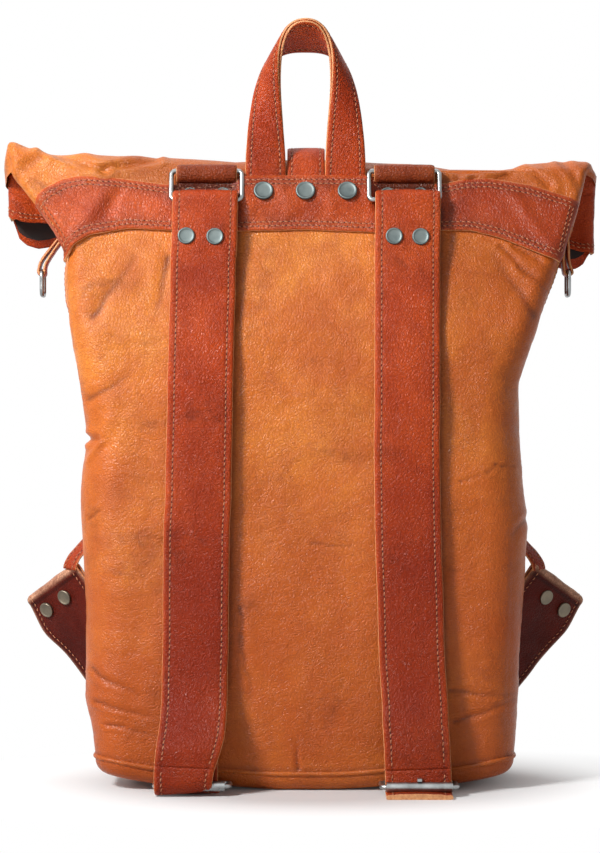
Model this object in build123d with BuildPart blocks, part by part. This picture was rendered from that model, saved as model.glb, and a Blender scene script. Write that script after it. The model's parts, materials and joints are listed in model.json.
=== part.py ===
import os
from math import atan2, cos, degrees, pi, radians, sin, sqrt, tan

from build123d import *

os.makedirs("parts", exist_ok=True)

# ---- driving sizes, mm and degrees ----
fold_z = 434.5          # height of the line the top folds about
hip_z = 60.8            # heights of the body's stations, bottom up
belly_z = 130.4
chest_z = 186.8
waist_z = 241.1
lean_drop = 114.3       # stations of the upper body, down from the fold line
gather_drop = 84.3
neck_drop = 43.5
fold_y = -13.0          # depth of that line, minus is the strap side
back_lean = 14.0        # lean of the upper back panel from upright
front_lean = 23.0       # lean of the upper front panel
body_width = 308.0      # standing body, at its fullest
body_depth = 124.0
waist_width = 299.0     # narrowest, where the side gussets pinch in
top_width = 410.0       # flattened width at the fold line
base_width = 294.0
leather = 2.4           # thickness of the body's leather
trim = 2.2              # yoke, tabs and patches
strap_t = 3.2           # shoulder straps
strap_w = 45.0
seam_z = 12.0           # height of the base seam
base_round = 8.0
piping_r = 2.0
crest_r = 18.0          # outer radius of the back wall over the fold
flap_len = 58.0         # far wall of the fold-over top, from fold to mouth
mouth_step = 14.0       # near wall is shorter by this much
open_max = 110.0        # opening angle of the fold-over top
yoke_drop = 7.0         # yoke's upper edge, down from the fold line
yoke_w = 41.5
yoke_droop = 14.0       # how far the yoke ends hang below its middle
strap_x_top = 69.5      # middle of a shoulder strap at its ring
strap_x_low = 78.0      # and at its buckle
wire_r = 1.7            # wire of the rings and buckles
ring_w = 53.0           # outer size of the strap rings
ring_h = 25.4
bar_drop = 2.5          # ring's top bar, down from the fold line
rivet_r = 6.0
rivet_dx = 11.5         # rivets in pairs, from the middle of their strap
yoke_rivet_r = 6.7
yoke_rivet_dx = 29.5
yoke_rivet_drop = 16.5
chape_rivet_drop = 12.0
strap_rivet_drop = 26.7
cap_t = 1.7             # height of a rivet's cap
shank_r = 1.5
handle_x = 28.0         # middle of each leg of the handle
handle_w = 28.0
handle_ply = 2.4
ply_gap = 0.04
handle_rise = 106.9     # top of the loop above its root
buckle_w = 55.0
roller_r = 3.4
lining_t = 0.8
loop_t = 2.1            # leather of the loops round the rings' bars
bar_play = 0.15         # play between a bar and its leather loop
side_strap_w = 12.0
side_low = 150.0        # lower end of the side straps
side_drop = 42.5        # their upper end, down from the fold line
side_bar_drop = 70.5
lining_drop = 30.4
wing_z = 146.4          # height of the wings' upper corner
wing_out = 18.7         # how far that corner stands off the side of the body
rear_out = 3.5          # base buckle's rear bar, behind the body's back
front_out = (20.0, 24.0)    # its front bar, left and right
flap_play = 0.6
gap = 0.3               # play between parts that move

# ---- derived sizes ----
half_d = body_depth / 2
yoke_high = fold_z - yoke_drop
yoke_low = yoke_high - yoke_w
ring_bar_z = fold_z - bar_drop
lean_z = fold_z - lean_drop
gather_z = fold_z - gather_drop
neck_z = fold_z - neck_drop
flare_z = waist_z + 0.578 * (lean_z - waist_z)
nb = (-cos(radians(back_lean)), sin(radians(back_lean)))
nf = (cos(radians(front_lean)), sin(radians(front_lean)))
down_b = (-sin(radians(back_lean)), -cos(radians(back_lean)))
down_f = (sin(radians(front_lean)), -cos(radians(front_lean)))
front_gap = 0.4
skin_b = leather * cos(radians(back_lean))
skin_f = leather * cos(radians(front_lean))


def back_plane_y(z):
    return fold_y - crest_r / cos(radians(back_lean)) + tan(radians(back_lean)) * (z - fold_z)


def front_plane_y(z):
    return fold_y - front_gap / cos(radians(front_lean)) - tan(radians(front_lean)) * (z - fold_z)


# stations of the body: height, half width, back, front, corner radius
stations = [
    (seam_z, base_width / 2, -half_d + 2, half_d - 2, 24.0),
    (hip_z, body_width / 2 - 1, -half_d, half_d, 28.0),
    (belly_z, body_width / 2, -half_d - 1, half_d, 30.0),
    (chest_z, body_width / 2 + 3, -half_d - 1, half_d - 1, 30.0),
    (waist_z, waist_width / 2, -half_d - 0.5, half_d - 4, 28.0),
    (flare_z, waist_width / 2 + 3, -half_d, half_d - 15, 25.0),
    (lean_z, waist_width / 2 + 15, back_plane_y(lean_z), front_plane_y(lean_z), 21.0),
    (gather_z, top_width / 2 - 33, back_plane_y(gather_z), front_plane_y(gather_z), 17.0),
    (neck_z, top_width / 2 - 19, back_plane_y(neck_z), front_plane_y(neck_z), 10.0),
    (fold_z, top_width / 2, back_plane_y(fold_z), front_plane_y(fold_z), 5.0),
]


def at(z):
    """Half width, back, front and corner radius of the body at a height."""
    for a, b in zip(stations, stations[1:]):
        if z <= b[0]:
            f = (z - a[0]) / (b[0] - a[0])
            return tuple(a[i] + f * (b[i] - a[i]) for i in range(1, 5))
    return stations[-1][1:]


def tube(off, z0, z1):
    """Solid body between two heights, grown by off all round."""
    levels = [z0] + [s[0] for s in stations if z0 < s[0] < z1] + [z1]
    with BuildPart() as p:
        for z in levels:
            hw, yb, yf, r = at(max(z, stations[0][0]))
            with BuildSketch(Plane.XY.offset(z)):
                with Locations((0, (yb + yf) / 2)):
                    RectangleRounded(2 * (hw + off), yf - yb + 2 * off, max(r + off, 1.0))
        loft(ruled=True)
    return p.part


def extrude_x(points, width, x=0.0):
    """Side-view outline in (y, z), extruded to a width about x."""
    with BuildPart() as p:
        with BuildSketch(Plane.YZ.offset(x)):
            with BuildLine():
                Polyline(*points, close=True)
            make_face()
        extrude(amount=width / 2, both=True)
    return p.part


def fold_pt(n, t, normal, down):
    """Point at a normal distance n and a distance t down from the fold line."""
    return (fold_y + n * normal[0] + t * down[0], fold_z + n * normal[1] + t * down[1])


def turned(r_in, r_out, a0, a1, width, end):
    """Band bent about the fold line from a0 to a1 degrees, closed beyond one end by the points given."""
    with BuildPart() as p:
        with BuildSketch(Plane.YZ):
            with BuildLine():
                far = CenterArc((fold_y, fold_z), r_out, a0, a1 - a0)
                near = CenterArc((fold_y, fold_z), r_in, a0, a1 - a0)
                Line(far @ 1, near @ 1)
                Polyline(far @ 0, *end, near @ 0)
            make_face()
        extrude(amount=width / 2, both=True)
    return p.part


def rod_x(r, x0, x1, y, z):
    with BuildPart() as p:
        with Locations(Location(((x0 + x1) / 2, y, z), (0, 90, 0))):
            Cylinder(r, abs(x1 - x0))
    return p.part


def rivet(plane, r, through, back_r=0.0):
    """Cap on the plane, shank going through, with a burr on the far side when back_r is given."""
    with BuildPart() as p:
        with BuildSketch(plane):
            Circle(r)
        extrude(amount=cap_t)
        rims = p.edges().filter_by(GeomType.CIRCLE)
        chamfer(rims.sort_by(lambda e: (e.center() - plane.origin).dot(plane.z_dir))[-1:], 0.45)
        with BuildSketch(plane):
            Circle(shank_r)
        extrude(amount=-through)
        if back_r:
            with BuildSketch(plane.offset(-through)):
                Circle(back_r)
            extrude(amount=-0.8)
    return p.part


def hole(plane, through):
    with BuildPart() as p:
        with BuildSketch(plane):
            Circle(shank_r)
        extrude(amount=-through)
    return p.part


def rect_ring(plane, w, h, r_wire, corner):
    """Bent wire rectangle with its centre line w by h."""
    with BuildPart() as p:
        with BuildLine(plane) as path:
            a = w / 2
            b = h / 2
            c = corner
            l1 = Line((-a + c, b), (a - c, b))
            l2 = TangentArc(l1 @ 1, (a, b - c), tangent=l1 % 1)
            l3 = Line((a, b - c), (a, -b + c))
            l4 = TangentArc(l3 @ 1, (a - c, -b), tangent=l3 % 1)
            l5 = Line((a - c, -b), (-a + c, -b))
            l6 = TangentArc(l5 @ 1, (-a, -b + c), tangent=l5 % 1)
            l7 = Line((-a, -b + c), (-a, b - c))
            l8 = TangentArc(l7 @ 1, (-a + c, b), tangent=l7 % 1)
        with BuildSketch(Plane(origin=l1 @ 0, z_dir=l1 % 0)):
            Circle(r_wire)
        sweep()
    return p.part



# ---- base ----
foot_hw, foot_b, foot_f, foot_r = at(seam_z)
foot_y = (foot_b + foot_f) / 2
foot_l = 2 * foot_hw
foot_d = foot_f - foot_b
base_t = 3.0
board_t = 3.0
with BuildPart() as base_panel:
    with BuildSketch(Plane.XY):
        with Locations((0, foot_y)):
            RectangleRounded(foot_l, foot_d, foot_r)
    extrude(amount=seam_z - 1)
    fillet(base_panel.edges().group_by(Axis.Z)[0], base_round)
    with BuildSketch(Plane.XY.offset(base_t)):
        with Locations((0, foot_y)):
            RectangleRounded(foot_l - 12, foot_d - 12, foot_r - 6)
    extrude(amount=seam_z, mode=Mode.SUBTRACT)

with BuildPart() as base_board:
    with BuildSketch(Plane.XY.offset(base_t)):
        with Locations((0, foot_y)):
            RectangleRounded(foot_l - 12.4, foot_d - 12.4, foot_r - 6.2)
    extrude(amount=board_t)

with BuildPart() as base_piping:
    with BuildSketch(Plane.XY.offset(seam_z - 1)):
        with Locations((0, foot_y)):
            RectangleRounded(foot_l + 2 * piping_r, foot_d + 2 * piping_r, foot_r + piping_r)
    extrude(amount=2)
    chamfer(base_piping.edges().group_by(Axis.Z)[0] + base_piping.edges().group_by(Axis.Z)[-1], 0.6)
    with BuildSketch(Plane.XY.offset(seam_z - 1)):
        with Locations((0, foot_y)):
            RectangleRounded(foot_l - 2 * leather, foot_d - 2 * leather, foot_r - leather)
    extrude(amount=2, mode=Mode.SUBTRACT)

# ---- shells ----
shell_z0 = seam_z + 1
outer = tube(0, shell_z0, fold_z)
inner = tube(-leather, shell_z0, fold_z)
mid_top = (back_plane_y(fold_z) + front_plane_y(fold_z)) / 2
mid_dir = (0, fold_z - seam_z, -mid_top)
mid_plane = Plane(origin=(0, 0, seam_z), x_dir=(1, 0, 0), z_dir=mid_dir)


def mid_y(z):
    return mid_top * (z - seam_z) / (fold_z - seam_z)


def slab(y_low, y_high, z0, z1):
    """Slanted slab beside the middle plane, between two heights."""
    with BuildPart() as p:
        with BuildSketch(Plane.YZ):
            with BuildLine():
                Polyline((mid_y(z0) + y_low, z0), (mid_y(z0) + y_high, z0),
                         (mid_y(z1) + y_high, z1), (mid_y(z1) + y_low, z1), close=True)
            make_face()
        extrude(amount=top_width, both=True)
    return p.part


def side_half(sign):
    """Everything on one side of the middle, sign -1 left or 1 right."""
    with BuildPart() as p:
        with Locations((sign * top_width / 2, 0, fold_z / 2)):
            Box(top_width - 0.02, 4 * body_depth, 2 * fold_z)
    return p.part


# yoke outline seen from behind
yoke_reach = top_width / 2 + 20
top_in = strap_x_top + ring_w / 2 + 6
with BuildPart() as yoke_cut:
    with BuildSketch(Plane.XZ):
        with BuildLine():
            Polyline((-yoke_reach, yoke_high - yoke_droop), (-top_in, yoke_high),
                     (top_in, yoke_high), (yoke_reach, yoke_high - yoke_droop),
                     (yoke_reach, yoke_low - yoke_droop), (top_in, yoke_low),
                     (-top_in, yoke_low), (-yoke_reach, yoke_low - yoke_droop), close=True)
        make_face()
    extrude(amount=120, both=True)
skin_plus = tube(trim, lean_z, fold_z)
back_room = slab(-body_depth, -side_strap_w / 2, lean_z, fold_z)


def on_back(x, z, n):
    """Plane on the upper back panel at a normal distance n outward."""
    y = back_plane_y(z)
    return Plane(origin=(x, y + n * nb[0], z + n * nb[1]), x_dir=(1, 0, 0), z_dir=(0, nb[0], nb[1]))


yoke_n = trim * cos(radians(back_lean))
rivet_z = fold_z - yoke_rivet_drop
yoke_spots = [on_back(x, rivet_z, yoke_n) for x in (-yoke_rivet_dx, 0.0, yoke_rivet_dx)]
sides = (("left", -1), ("right", 1))

# chape: loop of leather round the top bar of the ring
loop_r = wire_r + bar_play
loop_o = loop_r + loop_t
bar_n = yoke_n + loop_o
bar_y = back_plane_y(ring_bar_z) + bar_n * nb[0]
bar_z = ring_bar_z + bar_n * nb[1]
chape_w = 42.0
chape_len = 16.0


def chape(x):
    low = (bar_y + chape_len * down_b[0], bar_z + chape_len * down_b[1])
    t = bar_n - yoke_n
    pressed = t - 2 * loop_t
    with BuildPart() as p:
        with BuildSketch(Plane.YZ.offset(x)):
            with Locations((bar_y, bar_z)):
                Circle(loop_o)
            with BuildLine():
                Polyline((bar_y - t * nb[0], bar_z - t * nb[1]),
                         (low[0] - t * nb[0], low[1] - t * nb[1]),
                         (low[0] - pressed * nb[0], low[1] - pressed * nb[1]),
                         (bar_y + 5.2 * down_b[0] - pressed * nb[0],
                          bar_z + 5.2 * down_b[1] - pressed * nb[1]),
                         (bar_y + loop_o * nb[0] * 0.9 + 1.6 * down_b[0],
                          bar_z + loop_o * nb[1] * 0.9 + 1.6 * down_b[1]), close=True)
            make_face()
            with Locations((bar_y, bar_z)):
                Circle(loop_r, mode=Mode.SUBTRACT)
        extrude(amount=chape_w / 2, both=True)
    return p.part


chape_n = yoke_n + 2 * loop_t
chape_rivet_r = 5.2
chape_rivet_z = bar_z - chape_rivet_drop
chape_spots = []
for side, sign in sides:
    for dx in (-rivet_dx, rivet_dx):
        chape_spots.append(on_back(sign * strap_x_top + dx, chape_rivet_z, chape_n))

with BuildPart() as back_shell:
    add(outer)
    add(inner, mode=Mode.SUBTRACT)
    split(bisect_by=mid_plane, keep=Keep.BOTTOM)
    for plane in yoke_spots:
        add(hole(plane, yoke_n + leather + 2), mode=Mode.SUBTRACT)

with BuildPart() as front_shell:
    add(outer)
    add(inner, mode=Mode.SUBTRACT)
    split(bisect_by=mid_plane, keep=Keep.TOP)

lining_top = fold_z - lining_drop
with BuildPart() as lining:
    add(tube(-leather, shell_z0, lining_top))
    add(tube(-leather - lining_t, shell_z0, lining_top), mode=Mode.SUBTRACT)

with BuildPart() as yoke:
    add(skin_plus)
    add(outer, mode=Mode.SUBTRACT)
    add(yoke_cut.part, mode=Mode.INTERSECT)
    add(back_room, mode=Mode.INTERSECT)
    for plane in yoke_spots:
        add(hole(plane, yoke_n + 2), mode=Mode.SUBTRACT)

with BuildPart() as yoke_rivets:
    for plane in yoke_spots:
        add(rivet(plane, yoke_rivet_r, yoke_n + skin_b, 3.4))

with BuildPart() as chape_rivets:
    for plane in chape_spots:
        add(rivet(plane, chape_rivet_r, 2.0))

# ---- crest: the back wall turned over the fold line ----
root_end = 23.0 + open_max
yb0 = back_plane_y(fold_z)
with BuildPart() as crest_strip:
    add(turned(crest_r - skin_b, crest_r, 180 - back_lean, root_end, top_width - 8,
               [(yb0, fold_z), (yb0 + leather, fold_z)]))

# ---- side welts and straps in the gussets ----
welt_t = 1.6
side_high = fold_z - side_drop
with BuildPart() as side_welts:
    add(tube(welt_t, shell_z0, fold_z))
    add(outer, mode=Mode.SUBTRACT)
    add(slab(-1.6, 1.6, shell_z0 + 2, 50.0), mode=Mode.INTERSECT)


def side_strap(sign):
    with BuildPart() as p:
        add(tube(leather, side_low - 10, side_high + 10))
        add(outer, mode=Mode.SUBTRACT)
        add(slab(-side_strap_w / 2, side_strap_w / 2, side_low, side_high), mode=Mode.INTERSECT)
        add(side_half(sign), mode=Mode.INTERSECT)
    return p.part


# ---- small ring hung on a tab at each side ----
side_wire = 1.5
side_bar_z = fold_z - side_bar_drop
side_bar_y = mid_y(side_bar_z + 6)
side_bar_x = at(side_bar_z + 8)[0] + leather + 5.2
side_ring_w = 15.0
side_ring_h = 17.0


def side_tab(sign):
    """Leather loop round the ring's top bar, sewn to the side strap above it."""
    r_in = side_wire + bar_play
    r_out = r_in + 1.8
    hi = side_bar_z + 20
    edge_low = at(side_bar_z + 3)[0] + leather
    edge_high = at(hi)[0] + leather
    with BuildPart() as p:
        with BuildSketch(Plane.XZ.offset(-side_bar_y)):
            with Locations((sign * side_bar_x, side_bar_z)):
                Circle(r_out)
            with BuildLine():
                Polyline((sign * edge_low, side_bar_z + 3), (sign * edge_high, hi),
                         (sign * (edge_high + 2.4), hi),
                         (sign * (side_bar_x + r_out - 0.2), side_bar_z + 0.8),
                         (sign * (side_bar_x - r_out + 0.3), side_bar_z - 0.8), close=True)
            make_face()
            with Locations((sign * side_bar_x, side_bar_z)):
                Circle(r_in, mode=Mode.SUBTRACT)
        extrude(amount=3.2, both=True)
        add(tube(leather, side_bar_z - 20, hi + 6), mode=Mode.SUBTRACT)
    return p.part


# ---- wings: folded strap ends low on the sides ----
wing_t = 2.4
wing_w = 45.0
wing_len = 96.0
wing_fold = 26.0
wing_u = (0.570, 0.0, 0.822)
wing_v = (0.648, 0.606, -0.463)
wing_corner = (at(wing_z)[0] + wing_out, -5.0, wing_z)
wing_rivet_in = wing_fold / 2
wing_rivet_dx = 11.0
wing_spots = (wing_w / 2 - wing_rivet_dx, wing_w / 2 + wing_rivet_dx)


def wing_plane(sign, along, across, lift):
    """Plane on the wing: along from the fold toward the body, across from the upper corner."""
    u = Vector(sign * wing_u[0], wing_u[1], wing_u[2])
    v = Vector(sign * wing_v[0], wing_v[1], wing_v[2])
    n = u.cross(v) * (-sign)
    c = Vector(sign * wing_corner[0], wing_corner[1], wing_corner[2])
    return Plane(origin=c - u * along + v * across + n * lift, x_dir=v, z_dir=n)


def wing(sign):
    """Strap folded back on itself at its free end, outline seen along its width."""
    base = wing_plane(sign, 0, 0, 0)
    side = Plane(origin=base.origin, x_dir=-Vector(sign * wing_u[0], 0, wing_u[2]), z_dir=base.x_dir)
    up = 1 if side.y_dir.dot(base.z_dir) > 0 else -1
    with BuildPart() as p:
        with BuildSketch(side):
            with BuildLine():
                Polyline((wing_t, 0), (wing_len, 0), (wing_len, -up * wing_t),
                         (wing_fold + 0.5, -up * wing_t), (wing_fold, -up * 2 * wing_t),
                         (wing_t, -up * 2 * wing_t), (0.6, -up * 1.6 * wing_t),
                         (0.0, -up * wing_t), (0.6, -up * 0.4 * wing_t), close=True)
            make_face()
        extrude(amount=wing_w)
        add(outer, mode=Mode.SUBTRACT)
        for across in wing_spots:
            add(hole(wing_plane(sign, wing_rivet_in, across, 0), 3 * wing_t), mode=Mode.SUBTRACT)
    return p.part


with BuildPart() as wing_rivets:
    for side, sign in sides:
        for across in wing_spots:
            add(rivet(wing_plane(sign, wing_rivet_in, across, 0), 5.6, 2 * wing_t, 3.2))

# ---- base buckles: frame lying in front of the base, held by a chape ----
rear_y = -half_d - rear_out
rear_z = wire_r + 0.2 + 2.0 + 2.7
front_z = strap_t + gap + roller_r
buckle = {
    "left": {"x": -strap_x_low, "rear": (rear_y, rear_z), "front": (-half_d - front_out[0], front_z),
             "inward": True},
    "right": {"x": strap_x_low, "rear": (rear_y, rear_z), "front": (-half_d - front_out[1], front_z),
              "inward": False},
}
frame_w = buckle_w - 2 * wire_r


def tilt_plane(spec):
    """Plane of a buckle frame, x along its width, y from the rear bar to the front bar."""
    ry, rz = spec["rear"]
    fy, fz = spec["front"]
    length = sqrt((fy - ry) ** 2 + (fz - rz) ** 2)
    d = ((fy - ry) / length, (fz - rz) / length)
    return Plane(origin=(spec["x"], (ry + fy) / 2, (rz + fz) / 2), x_dir=(1, 0, 0),
                 z_dir=(0, -d[1], d[0])), length


def base_chape(side):
    """Leather loop from the back panel down round the rear bar."""
    spec = buckle[side]
    y, z = spec["rear"]
    r_in = wire_r + 0.2
    r_out = r_in + 2.0
    top = chape_top
    wall = at(top)[1]
    low_wall = at(seam_z + 3)[1]
    with BuildPart() as p:
        with BuildSketch(Plane.YZ.offset(spec["x"])):
            with Locations((y, z)):
                Circle(r_out)
            with BuildLine():
                Polyline((wall + 1, top), (wall - 2.4, top), (low_wall - 4.6, chape_bend),
                         (y - r_out * 0.8, z + r_out * 0.55), (y + r_out * 0.8, z + r_out * 0.4),
                         (low_wall + 1, seam_z + 5), close=True)
            make_face()
            with Locations((y, z)):
                Circle(r_in, mode=Mode.SUBTRACT)
        extrude(amount=17.0, both=True)
        add(outer, mode=Mode.SUBTRACT)
        add(base_piping.part, mode=Mode.SUBTRACT)
        with Locations((spec["x"], y - 4, z)):
            Box(7.0, 16.0, 22.0, mode=Mode.SUBTRACT)
    return p.part


chape_top = 42.0
chape_bend = seam_z + 6


def chape_face(z):
    """Outer face of the base chapes at a height."""
    a = at(chape_top)[1] - 2.4
    b = at(seam_z + 3)[1] - 4.6
    return b + (a - b) * (z - chape_bend) / (chape_top - chape_bend)


base_rivet_z = 31.0
base_rivet_dx = 9.0
lean = atan2(chape_face(chape_top) - chape_face(chape_bend), chape_top - chape_bend)
with BuildPart() as base_rivets:
    for side, sign in sides:
        for dx in (-base_rivet_dx, base_rivet_dx):
            plane = Plane(origin=(buckle[side]["x"] + dx, chape_face(base_rivet_z), base_rivet_z),
                          x_dir=(1, 0, 0), z_dir=(0, -cos(lean), sin(lean)))
            add(rivet(plane, 5.0, 1.5))


def tail_path(spec):
    """Lower strap end: centre line points in (y, z) round the roller."""
    fy, fz = spec["front"]
    c = roller_r + gap + strap_t / 2
    pts = []
    if spec["inward"]:
        pts.append((fy - c, tail_top))
        for k in range(7):
            a = radians(180 + 90 * k / 6)
            pts.append((fy + c * cos(a), fz + c * sin(a)))
        pts.append((fy + 13.0, fz - c))
    else:
        pts.append((fy + c, tail_top))
        for k in range(7):
            a = radians(0 - 90 * k / 6)
            pts.append((fy + c * cos(a), fz + c * sin(a)))
        pts.append((fy - 12.0, fz - c))
    return pts


tail_top = 21.0


def strip_outline(path, t):
    """Closed outline of a strip of thickness t about a centre line."""
    left = []
    right = []
    for i, (y, z) in enumerate(path):
        a = path[max(i - 1, 0)]
        b = path[min(i + 1, len(path) - 1)]
        dy = b[0] - a[0]
        dz = b[1] - a[1]
        m = sqrt(dy * dy + dz * dz)
        left.append((y - dz / m * t / 2, z + dy / m * t / 2))
        right.append((y + dz / m * t / 2, z - dy / m * t / 2))
    return left + right[::-1]


def strap_tail(side):
    spec = buckle[side]
    with BuildPart() as p:
        add(extrude_x(strip_outline(tail_path(spec), strap_t), strap_w, spec["x"]))
        with Locations((spec["x"], (spec["front"][0] + spec["rear"][0]) / 2, spec["front"][1] + 2.6)):
            Box(4.6, 2 * abs(spec["front"][0] - spec["rear"][0]) + 8, 13.0, mode=Mode.SUBTRACT)
    return p.part


def roller(side):
    spec = buckle[side]
    y, z = spec["front"]
    w = frame_w - 2 * 3.0 - 0.4
    with BuildPart() as p:
        add(rod_x(roller_r, spec["x"] - w / 2, spec["x"] + w / 2, y, z))
        add(rod_x(wire_r + 0.1, spec["x"] - w / 2, spec["x"] + w / 2, y, z), mode=Mode.SUBTRACT)
    return p.part


def buckle_frame(side):
    plane, length = tilt_plane(buckle[side])
    return rect_ring(plane, frame_w, length, wire_r, 3.0)


tongue_r = 1.3


def tongue(side):
    """Wire tongue looped on the rear bar, its tip resting on the roller."""
    spec = buckle[side]
    ry, rz = spec["rear"]
    fy, fz = spec["front"]
    hub = wire_r + 0.12
    tip_z = fz + roller_r + gap + tongue_r
    with BuildPart() as p:
        add(rod_x(hub + 1.6, spec["x"] - 2.2, spec["x"] + 2.2, ry, rz))
        with BuildSketch(Plane.YZ.offset(spec["x"])):
            with BuildLine():
                Polyline((ry, rz + hub + 0.2), (ry, rz + hub + 1.4),
                         (fy + 1.0, tip_z + tongue_r), (fy - 2.0, tip_z + tongue_r - 0.4),
                         (fy - 2.2, tip_z - tongue_r + 0.4),
                         (fy + 1.0, tip_z - tongue_r), close=True)
            make_face()
        extrude(amount=1.5, both=True)
        add(rod_x(hub, spec["x"] - 8, spec["x"] + 8, ry, rz), mode=Mode.SUBTRACT)
    return p.part


# ---- shoulder straps, rings ----
ring_lean = radians(19.0)
ring_c = ring_h - 2 * wire_r
low_y = bar_y - ring_c * sin(ring_lean)
low_z = bar_z - ring_c * cos(ring_lean)
strap_rivet_z = low_z - strap_rivet_drop
strap_fold_len = 42.0
ring_play = 0.8         # the strap is splayed, so its fold is loose on the bar


def strap_ring(sign):
    plane = Plane(origin=(sign * strap_x_top, (bar_y + low_y) / 2, (bar_z + low_z) / 2),
                  x_dir=(1, 0, 0), z_dir=(0, -cos(ring_lean), sin(ring_lean)))
    return rect_ring(plane, ring_w - 2 * wire_r, ring_c, wire_r, 3.1)


def strap_centre(side):
    """Centre line of the hanging ply from below the ring to just above the lower end."""
    spec = buckle[side]
    fy = spec["front"][0]
    c = roller_r + gap + strap_t / 2
    end_y = fy - c if spec["inward"] else fy + c
    r = wire_r + ring_play + strap_t / 2
    wall = -half_d - 1
    pts = [(low_y - r, low_z), (low_y - r - 3.4, low_z - 24), (low_y - r - 9.5, low_z - 62),
           (wall - 7.0, low_z - 120), (wall - 8.0, (low_z - 120 + belly_z) / 2 + 5.7), (wall - 8.5, belly_z),
           (wall - 10.0, hip_z + 17.4), ((wall - 10.0 + end_y) / 2 - 0.6, tail_top + 31.0),
           (end_y, tail_top + 11.0), (end_y, tail_top + 0.6)]
    return pts


def spline_points(pts, steps=5):
    """Smooth chain through points, Catmull-Rom."""
    out = []
    for i in range(len(pts) - 1):
        p0 = pts[max(i - 1, 0)]
        p1 = pts[i]
        p2 = pts[i + 1]
        p3 = pts[min(i + 2, len(pts) - 1)]
        for k in range(steps):
            t = k / steps
            q = []
            for j in (0, 1):
                q.append(0.5 * (2 * p1[j] + (p2[j] - p0[j]) * t
                                + (2 * p0[j] - 5 * p1[j] + 4 * p2[j] - p3[j]) * t * t
                                + (3 * p1[j] - p0[j] - 3 * p2[j] + p3[j]) * t ** 3))
            out.append(tuple(q))
    out.append(pts[-1])
    return out


def shoulder_strap(side, sign):
    """Strap folded back over the ring's lower bar, hanging to the base buckle."""
    chain = spline_points(strap_centre(side), 3)
    r_in = wire_r + ring_play
    r_c = r_in + strap_t / 2
    fold = []
    for k in range(7):
        a = radians(0 + 180 * k / 6)
        fold.append((low_y + r_c * cos(a), low_z + r_c * sin(a)))
    first = chain[:8]
    inner_ply = []
    for y, z in first[1:]:
        if z > low_z - strap_fold_len:
            inner_ply.append((y, z))
    close = []
    for y, z in inner_ply:
        drop = min((low_z - z) / 14.0, 1.0)
        close.append((y + 2 * r_c * (1 - drop) + (strap_t + 0.02) * drop, z))
    path = close[::-1] + fold + chain[1:]
    splay = degrees(atan2((strap_x_low - strap_x_top) * sign, low_z - tail_top))
    with BuildPart() as p:
        with Locations(Location((sign * strap_x_top, 0, low_z), (0, -splay, 0))):
            add(extrude_x(strip_outline([(y, z - low_z) for y, z in path], strap_t), strap_w))
        with Locations(Location((sign * strap_x_top, low_y, low_z), (0, 90 - splay, 0))):
            Cylinder(r_in, strap_w + 4, mode=Mode.SUBTRACT)
        with Locations((0, 0, tail_top + 0.4 - fold_z / 2)):
            Box(2 * top_width, 4 * body_depth, fold_z, mode=Mode.SUBTRACT)
        for plane in strap_rivet_spots(sign):
            add(rivet(plane, rivet_r, 2 * strap_t, 3.2), mode=Mode.SUBTRACT)
    return p.part


def strap_rivet_spots(sign):
    """Planes on the outer face of the hanging ply, where its folded end is riveted."""
    chain = strap_centre("right" if sign > 0 else "left")
    chain = spline_points(chain, 3)
    best = min(range(1, len(chain)), key=lambda i: abs(chain[i][1] - strap_rivet_z))
    (ya, za), (yb, zb) = chain[best - 1], chain[best]
    g = (strap_rivet_z - za) / (zb - za)
    yc = ya + g * (yb - ya)
    m = sqrt((yb - ya) ** 2 + (zb - za) ** 2)
    n = (-(za - zb) / m, (ya - yb) / m)
    if n[0] > 0:
        n = (-n[0], -n[1])
    out = []
    for dx in (-rivet_dx, rivet_dx):
        out.append(Plane(origin=(sign * (strap_x_top + 0.6) + dx, yc + n[0] * strap_t / 2,
                                 strap_rivet_z + n[1] * strap_t / 2),
                         x_dir=(1, 0, 0), z_dir=(0, n[0], n[1])))
    return out


def strap_rivets(sign):
    with BuildPart() as p:
        for plane in strap_rivet_spots(sign):
            add(rivet(plane, rivet_r, 2 * strap_t, 3.2))
    return p.part


# ---- handle: two plies bent into a half-twisted loop ----
handle_z0 = yoke_high + 3.6
handle_y = back_plane_y(handle_z0) - 3.1
rear_drop = 17.0


def edge_front(u):
    """Edge of the handle that turns towards the wearer; u runs 0 to pi over the loop."""
    s = max(sin(u), 0.0)
    c = cos(u)
    x = -(handle_x - handle_w / 2 + 17.0 * s ** 1.5) * (abs(c) ** 0.8) * (1 if c > 0 else -1)
    return (x, -handle_w / 2 * s ** 2.2, handle_rise * s ** 0.9)


def edge_rear(u):
    """Edge of the handle that turns towards the bag."""
    s = max(sin(u), 0.0)
    c = cos(u)
    x = -(handle_x + handle_w / 2 - 1.0 * s) * (abs(c) ** 0.62) * (1 if c > 0 else -1)
    return (x, handle_w / 2 * s ** 2.2, (handle_rise - rear_drop) * s ** 0.9)


def handle_strip(lift):
    """One ply of the handle, its middle surface raised by lift along the strip's normal."""
    count = 26
    with BuildPart() as p:
        for k in range(count + 1):
            u = pi * k / count
            e = 0.01
            f0 = Vector(*edge_front(u))
            r0 = Vector(*edge_rear(u))
            ua = min(u + e, pi)
            ub = max(u - e, 0.0)
            fwd = (Vector(*edge_front(ua)) + Vector(*edge_rear(ua))
                   - Vector(*edge_front(ub)) - Vector(*edge_rear(ub)))
            across = (r0 - f0).normalized()
            fwd = (fwd - across * fwd.dot(across)).normalized()
            normal = across.cross(fwd).normalized()
            mid = (f0 + r0) * 0.5 + normal * lift + Vector(0, handle_y, handle_z0)
            with BuildSketch(Plane(origin=mid, x_dir=across, z_dir=fwd)):
                Rectangle((r0 - f0).length, handle_ply)
        loft(ruled=True)
    return p.part


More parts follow.
